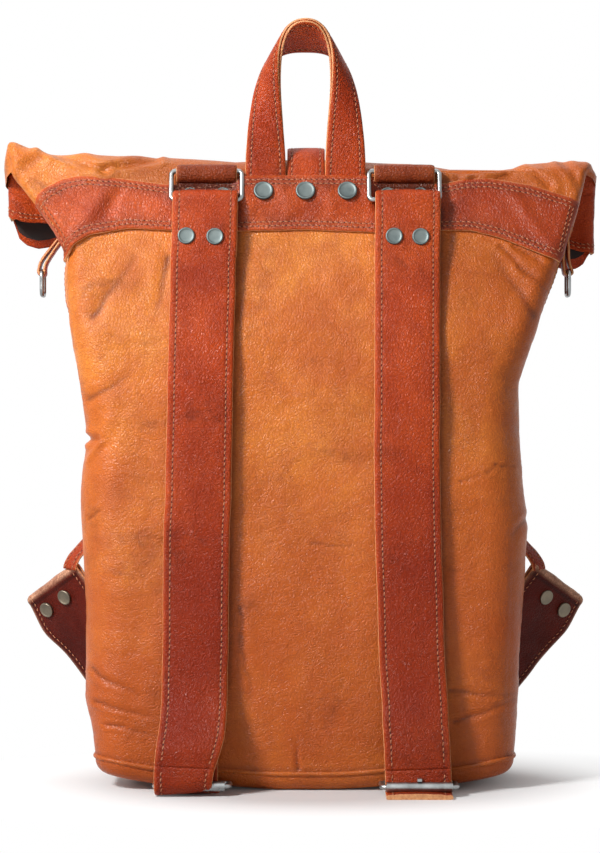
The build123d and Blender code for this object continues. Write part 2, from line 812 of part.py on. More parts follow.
# ---- fold-over top: far wall, near wall, mouth, all turning about the fold line ----
arm_out = crest_r - skin_b - flap_play - trim     # outer radius of the turned-over leather
arm_in = arm_out - leather
near_in = 0.4
near_out = near_in + leather
arc_start = front_lean
arc_end = root_end - 5.0
flap_half = at(fold_z - arm_out)[0] - leather - flap_play
band_split = 12.0

with BuildPart() as fold_leather:
    add(turned(arm_in, arm_out, arc_start, arc_end, 2 * flap_half,
               [fold_pt(arm_out, band_split, nf, down_f), fold_pt(arm_in, band_split, nf, down_f)]))


def flap_rect(n0, n1, t0, t1):
    return [fold_pt(n0, t0, nf, down_f), fold_pt(n1, t0, nf, down_f),
            fold_pt(n1, t1, nf, down_f), fold_pt(n0, t1, nf, down_f)]


with BuildPart() as mouth_far:
    add(extrude_x(flap_rect(arm_in, arm_out, band_split, flap_len), 2 * flap_half))
with BuildPart() as mouth_near:
    add(extrude_x(flap_rect(near_in, near_out, 3.2, flap_len - mouth_step), 2 * flap_half))
with BuildPart() as mouth_sides:
    for x in (-flap_half + 1.2, flap_half - 1.2):
        add(extrude_x(flap_rect(near_out, arm_in, 3.2, flap_len - mouth_step - 2), 2.4, x))

# ---- closure strap over the crest, fastened on the front by a press stud ----
clos_w = 26.0
clos_len = 104.0
clos_out = arm_out + trim
anchor_z = yoke_high + 0.4
anchor_y = back_plane_y(anchor_z)
with BuildPart() as closure_anchor:
    add(turned(crest_r, crest_r + trim, 180 - back_lean, root_end, clos_w,
               [(anchor_y + trim * nb[0], anchor_z + trim * nb[1]), (anchor_y, anchor_z)]))
with BuildPart() as closure_turn:
    add(turned(arm_out, clos_out, arc_start, arc_end, clos_w, []))
hinge_n = arm_out + flap_play * 0.5 + trim / 2
hinge_pt = fold_pt(hinge_n, 2.2, nf, down_f)
stud_t = 92.0
patch_t = 1.8
front_n = -front_gap
end_n = front_n + patch_t + 2.4 + trim / 2
strap_run = [(hinge_n, 2.2), (hinge_n, flap_len + 2.0), (hinge_n - 2.0, flap_len + 6.0),
             (end_n + 1.6, stud_t - 15.0), (end_n, stud_t - 11.0), (end_n, clos_len)]
run_pts = [fold_pt(n, t, nf, down_f) for n, t in strap_run]
stud_plane = Plane(origin=(0,) + fold_pt(end_n + trim / 2, stud_t, nf, down_f), x_dir=(1, 0, 0),
                   z_dir=(0, nf[0], nf[1]))
with BuildPart() as closure_strap:
    add(extrude_x(strip_outline(run_pts, trim), clos_w))
    add(rod_x(trim / 2, -clos_w / 2, clos_w / 2, hinge_pt[0], hinge_pt[1]))
    with BuildSketch(stud_plane):
        Circle(2.0)
    extrude(amount=-2 * trim, mode=Mode.SUBTRACT)
with BuildPart() as snap_cap:
    with BuildSketch(stud_plane):
        Circle(6.0)
    extrude(amount=cap_t)
    with BuildSketch(stud_plane):
        Circle(2.0)
    extrude(amount=-trim)
with BuildPart() as snap_patch:
    add(extrude_x([fold_pt(front_n, stud_t - 16, nf, down_f), fold_pt(front_n + patch_t, stud_t - 16, nf, down_f),
                   fold_pt(front_n + patch_t, stud_t + 12, nf, down_f),
                   fold_pt(front_n, stud_t + 12, nf, down_f)], 34.0))
snap_plane = Plane(origin=(0,) + fold_pt(front_n + patch_t, stud_t, nf, down_f), x_dir=(1, 0, 0),
                   z_dir=(0, nf[0], nf[1]))
with BuildPart() as snap_post:
    with BuildSketch(snap_plane):
        Circle(6.0)
    extrude(amount=1.0)
    with BuildSketch(snap_plane.offset(1.0)):
        Circle(2.6)
    extrude(amount=1.0)


def side_ring(sign):
    plane = Plane(origin=(sign * side_bar_x, side_bar_y, side_bar_z - side_ring_h / 2), x_dir=(0, 1, 0),
                  z_dir=(1, 0, 0))
    return rect_ring(plane, side_ring_w, side_ring_h, side_wire, 4.0)


nodes = {
    "base_panel": base_panel.part,
    "base_board": base_board.part,
    "base_piping": base_piping.part,
    "back_shell": back_shell.part,
    "front_shell": front_shell.part,
    "lining": lining.part,
    "crest_strip": crest_strip.part,
    "side_welts": side_welts.part,
    "yoke": yoke.part,
    "yoke_rivets": yoke_rivets.part,
    "chape_rivets": chape_rivets.part,
    "wing_rivets": wing_rivets.part,
    "base_rivets": base_rivets.part,
    "closure_anchor": closure_anchor.part,
    "snap_patch": snap_patch.part,
    "snap_post": snap_post.part,
    "fold_leather": fold_leather.part,
    "mouth_far": mouth_far.part,
    "mouth_near": mouth_near.part,
    "mouth_sides": mouth_sides.part,
    "closure_turn": closure_turn.part,
    "closure_strap": closure_strap.part,
    "snap_cap": snap_cap.part,
    "handle_outer": handle_strip(handle_ply / 2 + ply_gap),
    "handle_inner": handle_strip(-handle_ply / 2 - ply_gap),
}
for side, sign in sides:
    with BuildPart() as tab:
        add(chape(sign * strap_x_top))
        add(chape_rivets.part, mode=Mode.SUBTRACT)
    nodes[side + "_chape"] = tab.part
    nodes[side + "_side_strap"] = side_strap(sign)
    nodes[side + "_side_tab"] = side_tab(sign)
    nodes[side + "_side_ring"] = side_ring(sign)
    nodes[side + "_wing"] = wing(sign)
    with BuildPart() as strap_base:
        add(base_chape(side))
        add(base_rivets.part, mode=Mode.SUBTRACT)
    nodes[side + "_base_chape"] = strap_base.part
    nodes[side + "_buckle_frame"] = buckle_frame(side)
    nodes[side + "_roller"] = roller(side)
    nodes[side + "_tongue"] = tongue(side)
    nodes[side + "_strap_tail"] = strap_tail(side)
    nodes[side + "_strap"] = shoulder_strap(side, sign)
    nodes[side + "_ring"] = strap_ring(sign)
    nodes[side + "_strap_rivets"] = strap_rivets(sign)

for name, part in nodes.items():
    part.label = name
    export_step(part, "parts/" + name + ".step")
    print(name, len(part.solids()), part.is_valid, round(part.volume))
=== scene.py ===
import json
import math

import bpy
import numpy as np
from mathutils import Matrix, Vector


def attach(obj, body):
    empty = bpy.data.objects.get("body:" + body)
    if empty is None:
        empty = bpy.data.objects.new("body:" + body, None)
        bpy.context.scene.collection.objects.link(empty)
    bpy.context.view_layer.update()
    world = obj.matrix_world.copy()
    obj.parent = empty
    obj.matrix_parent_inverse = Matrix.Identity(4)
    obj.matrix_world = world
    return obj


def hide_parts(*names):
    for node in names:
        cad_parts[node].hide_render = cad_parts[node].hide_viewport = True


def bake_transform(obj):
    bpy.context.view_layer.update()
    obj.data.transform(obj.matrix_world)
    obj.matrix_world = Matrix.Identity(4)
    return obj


MM = 0.001
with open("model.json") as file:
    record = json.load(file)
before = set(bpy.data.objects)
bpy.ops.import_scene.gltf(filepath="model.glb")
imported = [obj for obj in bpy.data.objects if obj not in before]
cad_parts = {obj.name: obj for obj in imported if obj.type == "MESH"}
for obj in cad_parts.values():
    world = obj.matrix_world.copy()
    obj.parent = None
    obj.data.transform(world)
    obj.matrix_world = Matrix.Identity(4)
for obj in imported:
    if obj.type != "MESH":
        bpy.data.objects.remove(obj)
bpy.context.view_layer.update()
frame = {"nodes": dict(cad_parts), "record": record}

# ---------------------------------------------------------------- sizes, mm
FOLD_Y, FOLD_Z = -13.0, 434.5
BACK_LEAN, FRONT_LEAN = math.radians(14.0), math.radians(23.0)
# radius of the crest where it leaves the back, how much it tightens towards the flap, and there
CREST_R, CREST_TAPER, FLAP_R = 18.0, 4.6, 13.4
NF = (math.cos(FRONT_LEAN), math.sin(FRONT_LEAN))
DF = (math.sin(FRONT_LEAN), -math.cos(FRONT_LEAN))
NB = (-math.cos(BACK_LEAN), math.sin(BACK_LEAN))
STRAP_W, STRAP_T = 45.0, 3.2
STRAP_SEAM = 4.6
RING_X, BUCKLE_X = 69.5, 78.0
SIDES = (("left", -1), ("right", 1))


def noise(p, size, seed=0, octaves=1):
    """Smooth value noise, about -1 to 1, of points in mm with features of that size."""
    p = np.asarray(p, float).reshape(-1, 3)
    out = np.zeros(len(p))
    amp, total = 1.0, 0.0
    for k in range(octaves):
        q = p / size * (2 ** k) + 17.3 * (seed + k)
        i = np.floor(q).astype(np.int64)
        f = q - i
        f = f * f * (3 - 2 * f)
        val = np.zeros(len(p))
        for dx in (0, 1):
            for dy in (0, 1):
                for dz in (0, 1):
                    h = ((i[:, 0] + dx) * 374761393 + (i[:, 1] + dy) * 668265263
                         + (i[:, 2] + dz) * 1274126177 + (seed + 1) * 362437) & 0xFFFFFFFF
                    h = ((h ^ (h >> 13)) * 1103515245) & 0xFFFFFFFF
                    h = ((h ^ (h >> 15)) * 668265263) & 0xFFFFFFFF
                    v = (h ^ (h >> 16)) / 4294967295.0 * 2 - 1
                    w = (np.where(dx, f[:, 0], 1 - f[:, 0]) * np.where(dy, f[:, 1], 1 - f[:, 1])
                         * np.where(dz, f[:, 2], 1 - f[:, 2]))
                    val += v * w
        out += amp * val
        total += amp
        amp *= 0.5
    return out / total


def bump_fn(x, a, b):
    """Smooth step from 0 at a to 1 at b."""
    t = np.clip((x - a) / (b - a), 0, 1)
    return t * t * (3 - 2 * t)


def blurred(v, reach=6):
    """Values smoothed over that many neighbours on each side."""
    k = np.exp(-np.linspace(-2, 2, 2 * reach + 1) ** 2)
    return np.convolve(np.pad(v, reach, mode="edge"), k / k.sum(), mode="valid")


def from_segment(x, z, x0, z0, x1, z1):
    """Place of points along a segment, the same kept within it, and their distance from it."""
    vx, vz = x1 - x0, z1 - z0
    t = ((x - x0) * vx + (z - z0) * vz) / (vx * vx + vz * vz)
    tc = np.clip(t, 0, 1)
    return t, tc, np.hypot(x - x0 - tc * vx, z - z0 - tc * vz)


def make(name, verts, faces, mats, face_mat=None, attrs=None):
    """Mesh object from points in mm."""
    me = bpy.data.meshes.new(name)
    me.from_pydata((np.asarray(verts, float) * MM).tolist(), [], [list(f) for f in faces])
    for m in mats:
        me.materials.append(m)
    me.polygons.foreach_set("use_smooth", [True] * len(me.polygons))
    if face_mat is not None:
        me.polygons.foreach_set("material_index", list(face_mat))
    for key, value in (attrs or {}).items():
        layer = me.attributes.new(key, "FLOAT", "POINT")
        layer.data.foreach_set("value", np.asarray(value, np.float32).ravel())
    me.update()
    ob = bpy.data.objects.new(name, me)
    bpy.context.scene.collection.objects.link(ob)
    return ob


def grid_faces(n, m, wrap_u=False, wrap_v=False):
    """Quads of an n by m grid of points, index i * m + j."""
    iu = np.arange(n if wrap_u else n - 1)
    jv = np.arange(m if wrap_v else m - 1)
    a, b = np.meshgrid(iu, jv, indexing="ij")
    a2, b2 = (a + 1) % n, (b + 1) % m
    return np.stack([a * m + b, a2 * m + b, a2 * m + b2, a * m + b2], -1).reshape(-1, 4)


def normals_of(P):
    """Unit normals of a grid of points (n, m, 3)."""
    du = np.gradient(P, axis=0)
    dv = np.gradient(P, axis=1)
    n = np.cross(du, dv)
    return n / np.maximum(np.linalg.norm(n, axis=-1, keepdims=True), 1e-9)


def resample(path, step=None, count=None):
    """Points evenly spaced along a chain, and their unit tangents."""
    p = np.asarray(path, float)
    d = np.r_[0, np.cumsum(np.linalg.norm(np.diff(p, axis=0), axis=1))]
    if count is None:
        count = max(int(round(d[-1] / step)) + 1, 2)
    s = np.linspace(0, d[-1], count)
    q = np.stack([np.interp(s, d, p[:, k]) for k in range(p.shape[1])], -1)
    t = np.gradient(q, axis=0)
    t /= np.maximum(np.linalg.norm(t, axis=1, keepdims=True), 1e-9)
    return q, t


def smooth_chain(pts, steps=12):
    """Catmull-Rom chain through points of any dimension."""
    p = np.asarray(pts, float)
    p = np.vstack([2 * p[0] - p[1], p, 2 * p[-1] - p[-2]])
    out = []
    for i in range(1, len(p) - 2):
        for k in range(steps):
            t = k / steps
            out.append(0.5 * (2 * p[i] + (p[i + 1] - p[i - 1]) * t
                              + (2 * p[i - 1] - 5 * p[i] + 4 * p[i + 1] - p[i + 2]) * t * t
                              + (3 * p[i] - p[i - 1] - 3 * p[i + 1] + p[i + 2]) * t ** 3))
    out.append(p[-2])
    return np.array(out)


# ---------------------------------------------------------------- materials
def new_mat(name):
    m = bpy.data.materials.new(name)
    m.use_nodes = True
    nt = m.node_tree
    return m, nt, nt.nodes["Principled BSDF"]


def put(nt, value, sock):
    """Feeds a socket from another socket or sets it to a constant."""
    if isinstance(value, bpy.types.NodeSocket):
        nt.links.new(value, sock)
    else:
        sock.default_value = value


def add_node(nt, kind, inputs=(), **settings):
    """New node with its input sockets fed, given as (name or index, value) pairs."""
    n = nt.nodes.new("ShaderNode" + kind)
    for key, value in settings.items():
        setattr(n, key, value)
    for key, value in inputs:
        put(nt, value, n.inputs[key])
    return n


def mix(nt, fac, a, b):
    """Colour mix; each of fac, a and b is a socket or a constant."""
    a, b = ((*v, 1.0) if isinstance(v, tuple) else v for v in (a, b))
    return add_node(nt, "Mix", ((0, fac), (6, a), (7, b)), data_type="RGBA").outputs[2]


def ramp(nt, fac, lo, hi, out_lo=0.0, out_hi=1.0):
    return add_node(nt, "MapRange", enumerate((fac, lo, hi, out_lo, out_hi))).outputs[0]


def calc(nt, op, a, b=0.5):
    return add_node(nt, "Math", enumerate((a, b)), operation=op).outputs[0]


def noise_tex(nt, coord, scale, detail=2.0, rough=0.5, distort=0.0, stretch=None):
    if stretch is not None:
        coord = add_node(nt, "Mapping", (("Vector", coord), ("Scale", stretch))).outputs["Vector"]
    return add_node(nt, "TexNoise", (("Vector", coord), ("Scale", scale), ("Detail", detail), ("Roughness", rough),
                                     ("Distortion", distort))).outputs[0]


def fold_lines(nt, noise_value, width, amount):
    """Narrow valleys where a noise crosses its middle value, with their strength."""
    gap = calc(nt, "ABSOLUTE", calc(nt, "SUBTRACT", noise_value))
    return calc(nt, "MULTIPLY", ramp(nt, gap, 0.0, width), amount)


def bump(nt, height, strength, distance, normal=None):
    inputs = [("Height", height), ("Strength", strength), ("Distance", distance)]
    return add_node(nt, "Bump", inputs + ([] if normal is None else [("Normal", normal)])).outputs[0]


def attr(nt, name):
    return add_node(nt, "Attribute", attribute_name=name).outputs["Fac"]


def leather(name, light, mid, dark, low, stain_and_shade, gloss=0.4, grain=1.0, spot=0.15, run=(0.55, 1.0, 1.6), painted_shade=0.0,
            raw=None):
    """Waxed leather: mottled colour that deepens towards the base, stains, painted shade in creases, grooves and gaps,
    one side in painted shade, rubbed edges with a painted highlight on folds, grain, wrinkles.
    """
    m, nt, sh = new_mat(name)
    co = nt.nodes.new("ShaderNodeTexCoord").outputs["Object"]
    xyz = add_node(nt, "SeparateXYZ", ((0, co),))
    big = noise_tex(nt, co, 9.0, 3.0, 0.55, 0.6)
    medium = noise_tex(nt, co, 38.0, 5.0, 0.6, 0.4)
    fine = noise_tex(nt, co, 260.0, 3.0, 0.6)
    broad = noise_tex(nt, co, 20.0, 4.0, 0.6, 0.8, stretch=(1.0, 1.0, 0.55))
    patch = noise_tex(nt, co, 15.0, 6.0, 0.68, 0.9)
    streak = noise_tex(nt, co, 70.0, 6.0, 0.7, 0.5)
    # colour by height, then mottling
    height = calc(nt, "ADD", xyz.outputs["Z"], ramp(nt, big, 0.2, 0.8, -0.06, 0.06))
    col = mix(nt, ramp(nt, height, 0.06, 0.30, 0.9, 0.0), mid, low)
    col = mix(nt, calc(nt, "MULTIPLY", ramp(nt, big, 0.40, 0.66), ramp(nt, height, 0.1, 0.4, 0.45, 1.0)), col, light)
    for source, lo, hi, most in ((broad, 0.47, 0.70, 0.65), (medium, 0.42, 0.72, 0.5), (fine, 0.35, 0.75, 0.25)):
        col = mix(nt, ramp(nt, source, lo, hi, 0.0, most), col, dark)
    # stains, then painted shade in creases, grooves and gaps and beside straps, then rubbed edges and a painted
    # highlight on folds
    blot = calc(nt, "MULTIPLY", ramp(nt, patch, 0.55, 0.70), ramp(nt, streak, 0.40, 0.64))
    col = mix(nt, calc(nt, "MULTIPLY", blot, STAIN_AMOUNT), col, stain_and_shade)
    # painted shade: darker towards the right side, away from the key light
    if painted_shade:
        col = mix(nt, ramp(nt, xyz.outputs["X"], 0.05, 0.15, 0.0, painted_shade), col, dark)
    # painted shade: darkening towards the stain colour in creases, stitch grooves, gaps and beside straps
    col = mix(nt, calc(nt, "MULTIPLY", attr(nt, "crease"), SHADE_AND_MARKS_AMOUNT), col, stain_and_shade)
    # rubbed edges, and on folds a painted highlight, in the raw-edge colour where one is given, else the light colour
    worn_and_lit = calc(nt, "MULTIPLY", attr(nt, "wear"), ramp(nt, streak, 0.3, 0.6, 0.25, 1.0))
    col = mix(nt, worn_and_lit, col, raw or light)
    # pebbled grain: cells with wavering borders
    shift = add_node(nt, "TexNoise", (("Vector", co), ("Scale", 300.0)))
    scl = add_node(nt, "VectorMath", ((0, shift.outputs["Color"]), ("Scale", 0.0016)), operation="SCALE")
    moved = add_node(nt, "VectorMath", ((0, co), (1, scl.outputs[0]))).outputs[0]
    vor = add_node(nt, "TexVoronoi", (("Vector", moved), ("Scale", PEBBLES_PER_M)), feature="DISTANCE_TO_EDGE")
    cell = ramp(nt, vor.outputs["Distance"], 0.0, 0.22)
    col = mix(nt, ramp(nt, cell, 0.0, 0.7, 0.42, 0.0), col, dark)
    put(nt, col, sh.inputs["Base Color"])
    rgh = ramp(nt, medium, 0.3, 0.75, gloss - 0.06, gloss + 0.14)
    put(nt, calc(nt, "ADD", rgh, calc(nt, "MULTIPLY", blot, 0.12)), sh.inputs["Roughness"])
    sh.inputs["Specular IOR Level"].default_value = spot
    # relief: long ripples, fine crinkles, pebbles and pores
    ripple = fold_lines(nt, noise_tex(nt, co, 60.0, 3.0, 0.6, 1.2, stretch=(1.0, 1.0, 3.2)), 0.05,
                        ramp(nt, patch, 0.40, 0.60))
    crinkle = fold_lines(nt, noise_tex(nt, co, 230.0, 2.5, 0.6, 1.3, stretch=run), 0.12,
                         ramp(nt, broad, 0.40, 0.58, 0.15, 1.0))
    pores = noise_tex(nt, co, 520.0, 2.0, 0.5)
    out = None
    for source, strength, depth in ((ripple, 0.28, 0.0008), (crinkle, 0.36, 0.0008), (cell, 0.42, 0.0005),
                                    (pores, 0.30, 0.0004)):
        out = bump(nt, source, strength * grain, depth, out)
    put(nt, out, sh.inputs["Normal"])
    return m


def plain(name, low, high, rough, scale=120.0, metal=0.0, relief=0.2, relief_scale=600.0):
    """Mottled material with a fine relief, for metal, thread, cut edges, cloth and board, and for the near-black
    painted shade of stitch holes and of the mouth's inside.
    """
    m, nt, sh = new_mat(name)
    co = nt.nodes.new("ShaderNodeTexCoord").outputs["Object"]
    a = noise_tex(nt, co, scale, 4.0, 0.6)
    put(nt, mix(nt, ramp(nt, a, 0.3, 0.7), low, high), sh.inputs["Base Color"])
    put(nt, ramp(nt, a, 0.3, 0.7, rough - 0.06, rough + 0.08), sh.inputs["Roughness"])
    sh.inputs["Metallic"].default_value = metal
    put(nt, bump(nt, noise_tex(nt, co, relief_scale, 4.0, 0.6), relief, 0.0003), sh.inputs["Normal"])
    return m


STAIN_AMOUNT, SHADE_AND_MARKS_AMOUNT, PEBBLES_PER_M = 0.6, 0.8, 470.0
TAN = leather("tan_leather", (0.82, 0.270, 0.040), (0.69, 0.170, 0.018), (0.44, 0.076, 0.006),
              (0.48, 0.088, 0.008), (0.10, 0.018, 0.005), gloss=0.34, grain=0.9, spot=0.24, painted_shade=0.55)
RED = leather("brown_leather", (0.62, 0.095, 0.016), (0.47, 0.050, 0.006), (0.27, 0.021, 0.003),
              (0.20, 0.015, 0.003), (0.030, 0.005, 0.003), gloss=0.30, grain=1.15, spot=0.13, run=(1.0, 1.0, 1.0))
YOKE = leather("yoke_leather", (0.70, 0.120, 0.020), (0.49, 0.054, 0.006), (0.24, 0.018, 0.002),
               (0.20, 0.015, 0.003), (0.030, 0.005, 0.003), gloss=0.29, spot=0.19,
               run=(1.0, 1.0, 1.0), painted_shade=0.4)
# the brown leather made darker to paint the shade the wings sit in; its light raw colour marks rubbed edges and a
# painted highlight on the wings' rolled tops
SHADED_BROWN = leather("brown_leather_painted_shade", (0.20, 0.020, 0.008), (0.14, 0.011, 0.004), (0.06, 0.005, 0.002),
               (0.10, 0.009, 0.004), (0.012, 0.002, 0.001), gloss=0.42, spot=0.08, raw=(0.80, 0.42, 0.26))
CHAPE = leather("chape_leather", (0.40, 0.090, 0.020), (0.27, 0.040, 0.008), (0.15, 0.018, 0.004),
                (0.12, 0.014, 0.004), (0.02, 0.004, 0.002), gloss=0.32, grain=1.2, spot=0.13)
EDGE = plain("raw_edge", (0.55, 0.20, 0.07), (0.80, 0.40, 0.17), 0.75, 500.0, relief=0.5)
THREAD = plain("thread", (0.38, 0.11, 0.045), (0.62, 0.27, 0.13), 0.7, 700.0, relief=0.6, relief_scale=2500.0)
DULL = plain("dull_cap", (0.13, 0.11, 0.085), (0.22, 0.18, 0.13), 0.5, 140.0, metal=1.0, relief=0.1)
# near-black painted shade for the stitch holes
HOLE_SHADE = plain("stitch_hole_shade", (0.03, 0.006, 0.003), (0.06, 0.012, 0.005), 0.9)
NICKEL = plain("nickel", (0.24, 0.25, 0.25), (0.38, 0.39, 0.39), 0.32, 90.0, metal=1.0, relief=0.06)
CAP = plain("cap_face", (0.085, 0.105, 0.105), (0.13, 0.15, 0.145), 0.55, 140.0, metal=1.0, relief=0.05)
# near-black painted shade for the inside of the mouth
INSIDE_SHADE = plain("leather_inside_painted_shade", (0.012, 0.004, 0.003), (0.028, 0.009, 0.005), 0.9, 60.0, relief=0.5)
CLOTH = plain("lining_cloth", (0.035, 0.025, 0.02), (0.06, 0.045, 0.035), 0.9, 300.0, relief=0.6, relief_scale=1800.0)
BOARD = plain("fibre_board", (0.16, 0.10, 0.06), (0.25, 0.17, 0.11), 0.85, 200.0)

SLOTS = {"tan_leather": TAN, "brown_leather": RED, "nickel": NICKEL, "lining_cloth": CLOTH, "fibre_board": BOARD}
for sub in frame["record"]["subparts"]:
    ob = frame["nodes"][sub["node"]]
    ob.data.materials.clear()
    ob.data.materials.append(SLOTS[sub["material_slot"]])

# ---------------------------------------------------------------- shapes shared by many pieces
def back_plane(z):
    return FOLD_Y - CREST_R / math.cos(BACK_LEAN) + math.tan(BACK_LEAN) * (z - FOLD_Z)


def front_plane(z):
    return FOLD_Y - 0.4 / math.cos(FRONT_LEAN) - math.tan(FRONT_LEAN) * (z - FOLD_Z)


def unit(v):
    v = np.asarray(v, float)
    return v / np.maximum(np.linalg.norm(v, axis=-1, keepdims=True), 1e-9)


def strip(C, A, N, width, thick, crown=0.5, groove=(), wob=0.25, seed=0, cols=31, bulge=0.3, soft=40.0):
    """Points of a leather strip, rows along its length and one ring of points round each section.

    C centres, A across and N normal (unit, one per row); groove gives the distances of the stitched lines
    from the edges. Returns points, face material per ring column, crease and wear values and the top lines."""
    C, A, N = (np.asarray(v, float) for v in (C, A, N))
    n = len(C)
    w = np.broadcast_to(np.asarray(width, float), (n,))
    u = np.linspace(-1, 1, cols)
    half = w[:, None] / 2
    pos = u[None, :] * half
    edge = half - np.abs(pos)
    h = thick / 2 + crown * (1 - u[None, :] ** 2) - 0.55 * np.exp(-(edge / 0.9) ** 2)
    dark = np.zeros((n, cols))
    # stitch grooves pressed in, and darkened there as painted shade
    for g in groove:
        h = h - 0.34 * np.exp(-((edge - g) / 1.0) ** 2)
        dark = np.maximum(dark, 0.42 * np.exp(-((edge - g) / 0.9) ** 2))
    P = C[:, None] + A[:, None] * pos[..., None]
    q = P.reshape(-1, 3)
    ripple = wob * (noise(q, soft, seed, 2) + 0.45 * noise(q, 9.0, seed + 3, 2)).reshape(n, cols)
    fade = np.clip(edge / 3.0, 0.25, 1)
    top = P + N[:, None] * (h + ripple * fade)[..., None]
    low = P - N[:, None] * (thick / 2 - 0.3 * np.exp(-(edge / 0.9) ** 2) - 0.6 * ripple * fade)[..., None]
    sway = 0.35 * wob / 0.25 * noise(C + 31.0, 26.0, seed + 7, 2)
    top += A[:, None] * sway[:, None, None]
    low += A[:, None] * sway[:, None, None]
    er = (top[:, -1] + low[:, -1]) / 2 + A * bulge
    el = (top[:, 0] + low[:, 0]) / 2 - A * bulge
    ring = np.concatenate([top, er[:, None], low[:, ::-1], el[:, None]], 1)
    m = ring.shape[1]
    mat = np.zeros(m, int)
    mat[[cols - 1, cols, m - 2, m - 1]] = 1
    crease = np.concatenate([dark, np.zeros((n, cols + 2))], 1)
    rub = 0.75 * np.exp(-(edge / 1.3) ** 2)
    wear = np.concatenate([rub, np.ones((n, 1)) * 0.6, rub[:, ::-1], np.ones((n, 1)) * 0.6], 1)
    return ring, mat, crease, wear, top


def strip_mesh(name, data, body, mats=None, rows=slice(None)):
    ring, mat, crease, wear = data[:4]
    ring, crease, wear = ring[rows], crease[rows], wear[rows]
    n, m = ring.shape[:2]
    faces = [list(q) for q in grid_faces(n, m, wrap_v=True)]
    faces += [list(range(m)), list(range(n * m - 1, (n - 1) * m - 1, -1))]
    fm = list(np.tile(mat, n - 1)) + [1, 1]
    ob = make(name, ring.reshape(-1, 3), faces, mats or [RED, EDGE], face_mat=fm,
              attrs={"crease": crease.ravel(), "wear": wear.ravel()})
    for end in (-1, -2):
        ob.data.polygons[len(faces) + end].use_smooth = False
    if body:
        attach(ob, body)
    return ob


def seam(top, across, side):
    """Line on the top face of a strip at a distance in from one edge: points and normals."""
    n, cols = top.shape[:2]
    w = np.linalg.norm(top[:, -1] - top[:, 0], axis=1)
    f = across / w if side < 0 else 1 - across / w
    k = f * (cols - 1)
    i = np.clip(np.floor(k).astype(int), 0, cols - 2)
    g = (k - i)[:, None]
    r = np.arange(n)
    p = top[r, i] * (1 - g) + top[r, i + 1] * g
    t = np.gradient(top, axis=0)[r, i]
    a = np.gradient(top, axis=1)[r, i]
    up = unit(np.cross(a, t))
    return p, up


def seams(data, across, N, rows=slice(None)):
    """Both stitched lines of a strip, with their normals on the side of N."""
    lines = []
    for side in (-1, 1):
        p, up = seam(data[4][rows], across, side)
        lines.append((p, up * np.sign((up * N[rows]).sum(1, keepdims=True))))
    return lines


def line_on(face, k, inside, weight=(1, 1, 1)):
    """Points at fractional column k of each row of a grid, with normals that point away from inside."""
    i = np.floor(k).astype(int)
    w = (k - i)[:, None]
    r = np.arange(len(face))
    p = face[r, i] * (1 - w) + face[r, i + 1] * w
    up = unit(np.cross(np.gradient(face, axis=0)[r, i], np.gradient(face, axis=1)[r, i]))
    return p, up * np.sign((up * (p - inside) * np.array(weight)).sum(1, keepdims=True))


def ribbon(points, x, step, axis, row=None, facing=1, steps=5):
    """Centres, across and normals of a strip along (y, z) points at one x; its normal at a row is turned to face
    along that axis."""
    q, t = resample(smooth_chain(points, steps), step)
    zero = np.zeros(len(q))
    A = np.tile([1.0, 0, 0], (len(q), 1))
    N = np.cross(A, np.stack([zero, t[:, 0], t[:, 1]], -1))
    row = len(q) // 2 if row is None else row
    return np.stack([zero + x, q[:, 0], q[:, 1]], -1), A, N * facing * np.sign(N[row, axis])


def stitches(rows, spacing=3.9, length=2.7, r=0.40, lift=0.14):
    """Points and faces of short thread stitches along each (line, normals) pair, with a dark disc of painted shade for
    the hole between stitches.
    """
    verts, faces = [], []
    lat = [(-1.0, 0.0), (-0.86, 0.62), (-0.4, 1.0), (0.4, 1.0), (0.86, 0.62), (1.0, 0.0)]
    ring_a = np.linspace(0, 2 * math.pi, 7)[:-1]
    for line, up in rows:
        line, up = np.asarray(line, float), np.asarray(up, float)
        d = np.r_[0, np.cumsum(np.linalg.norm(np.diff(line, axis=0), axis=1))]
        k = int(d[-1] // spacing)
        if k < 1:
            continue
        s = (np.arange(k) + 0.5) * spacing + (d[-1] - k * spacing) / 2
        c, ahead, behind, n = (np.stack([np.interp(at_s, d, v[:, j]) for j in range(3)], -1)
                               for at_s, v in ((s, line), (s + 0.6, line), (s - 0.6, line), (s, up)))
        t, n = unit(ahead - behind), unit(n)
        b = unit(np.cross(t, n))
        n = np.cross(b, t)
        for i in range(k):
            base = len(verts)
            dip = 0.10 * math.sin(i * 12.9898)
            ta = unit(t[i] + b[i] * 0.22 + b[i] * dip * 0.6)
            for x, rr in lat[1:-1]:
                for ang in ring_a:
                    verts.append(c[i] + ta * x * length / 2 + b[i] * math.cos(ang) * r * rr
                                 + n[i] * (lift + math.sin(ang) * r * 0.8 * rr - 0.22 * abs(x) ** 3))
            verts.append(c[i] - ta * length / 2 - n[i] * 0.12)
            verts.append(c[i] + ta * length / 2 - n[i] * 0.12)
            for q in range(3):
                for w in range(6):
                    a0, a1 = base + q * 6 + w, base + q * 6 + (w + 1) % 6
                    faces.append((a0, a1, a1 + 6, a0 + 6))
            for w in range(6):
                faces.append((base + 24, base + (w + 1) % 6, base + w))
                faces.append((base + 25, base + 18 + w, base + 18 + (w + 1) % 6))
            # dark disc between stitches: painted shade of the stitch hole
            if i:
                spot = (c[i] + c[i - 1]) / 2 + n[i] * 0.10
                for ang in ring_a:
                    verts.append(spot + t[i] * math.cos(ang) * 0.62 + b[i] * math.sin(ang) * 0.46)
                faces.append(tuple(range(base + 26, base + 32)))
    return verts, faces


def stitch_mesh(name, rows, body, **kw):
    verts, faces = stitches(rows, **kw)
    ob = make(name, verts, faces, [THREAD, HOLE_SHADE], face_mat=[int(len(f) == 6) for f in faces])
    if body:
        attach(ob, body)
    return ob


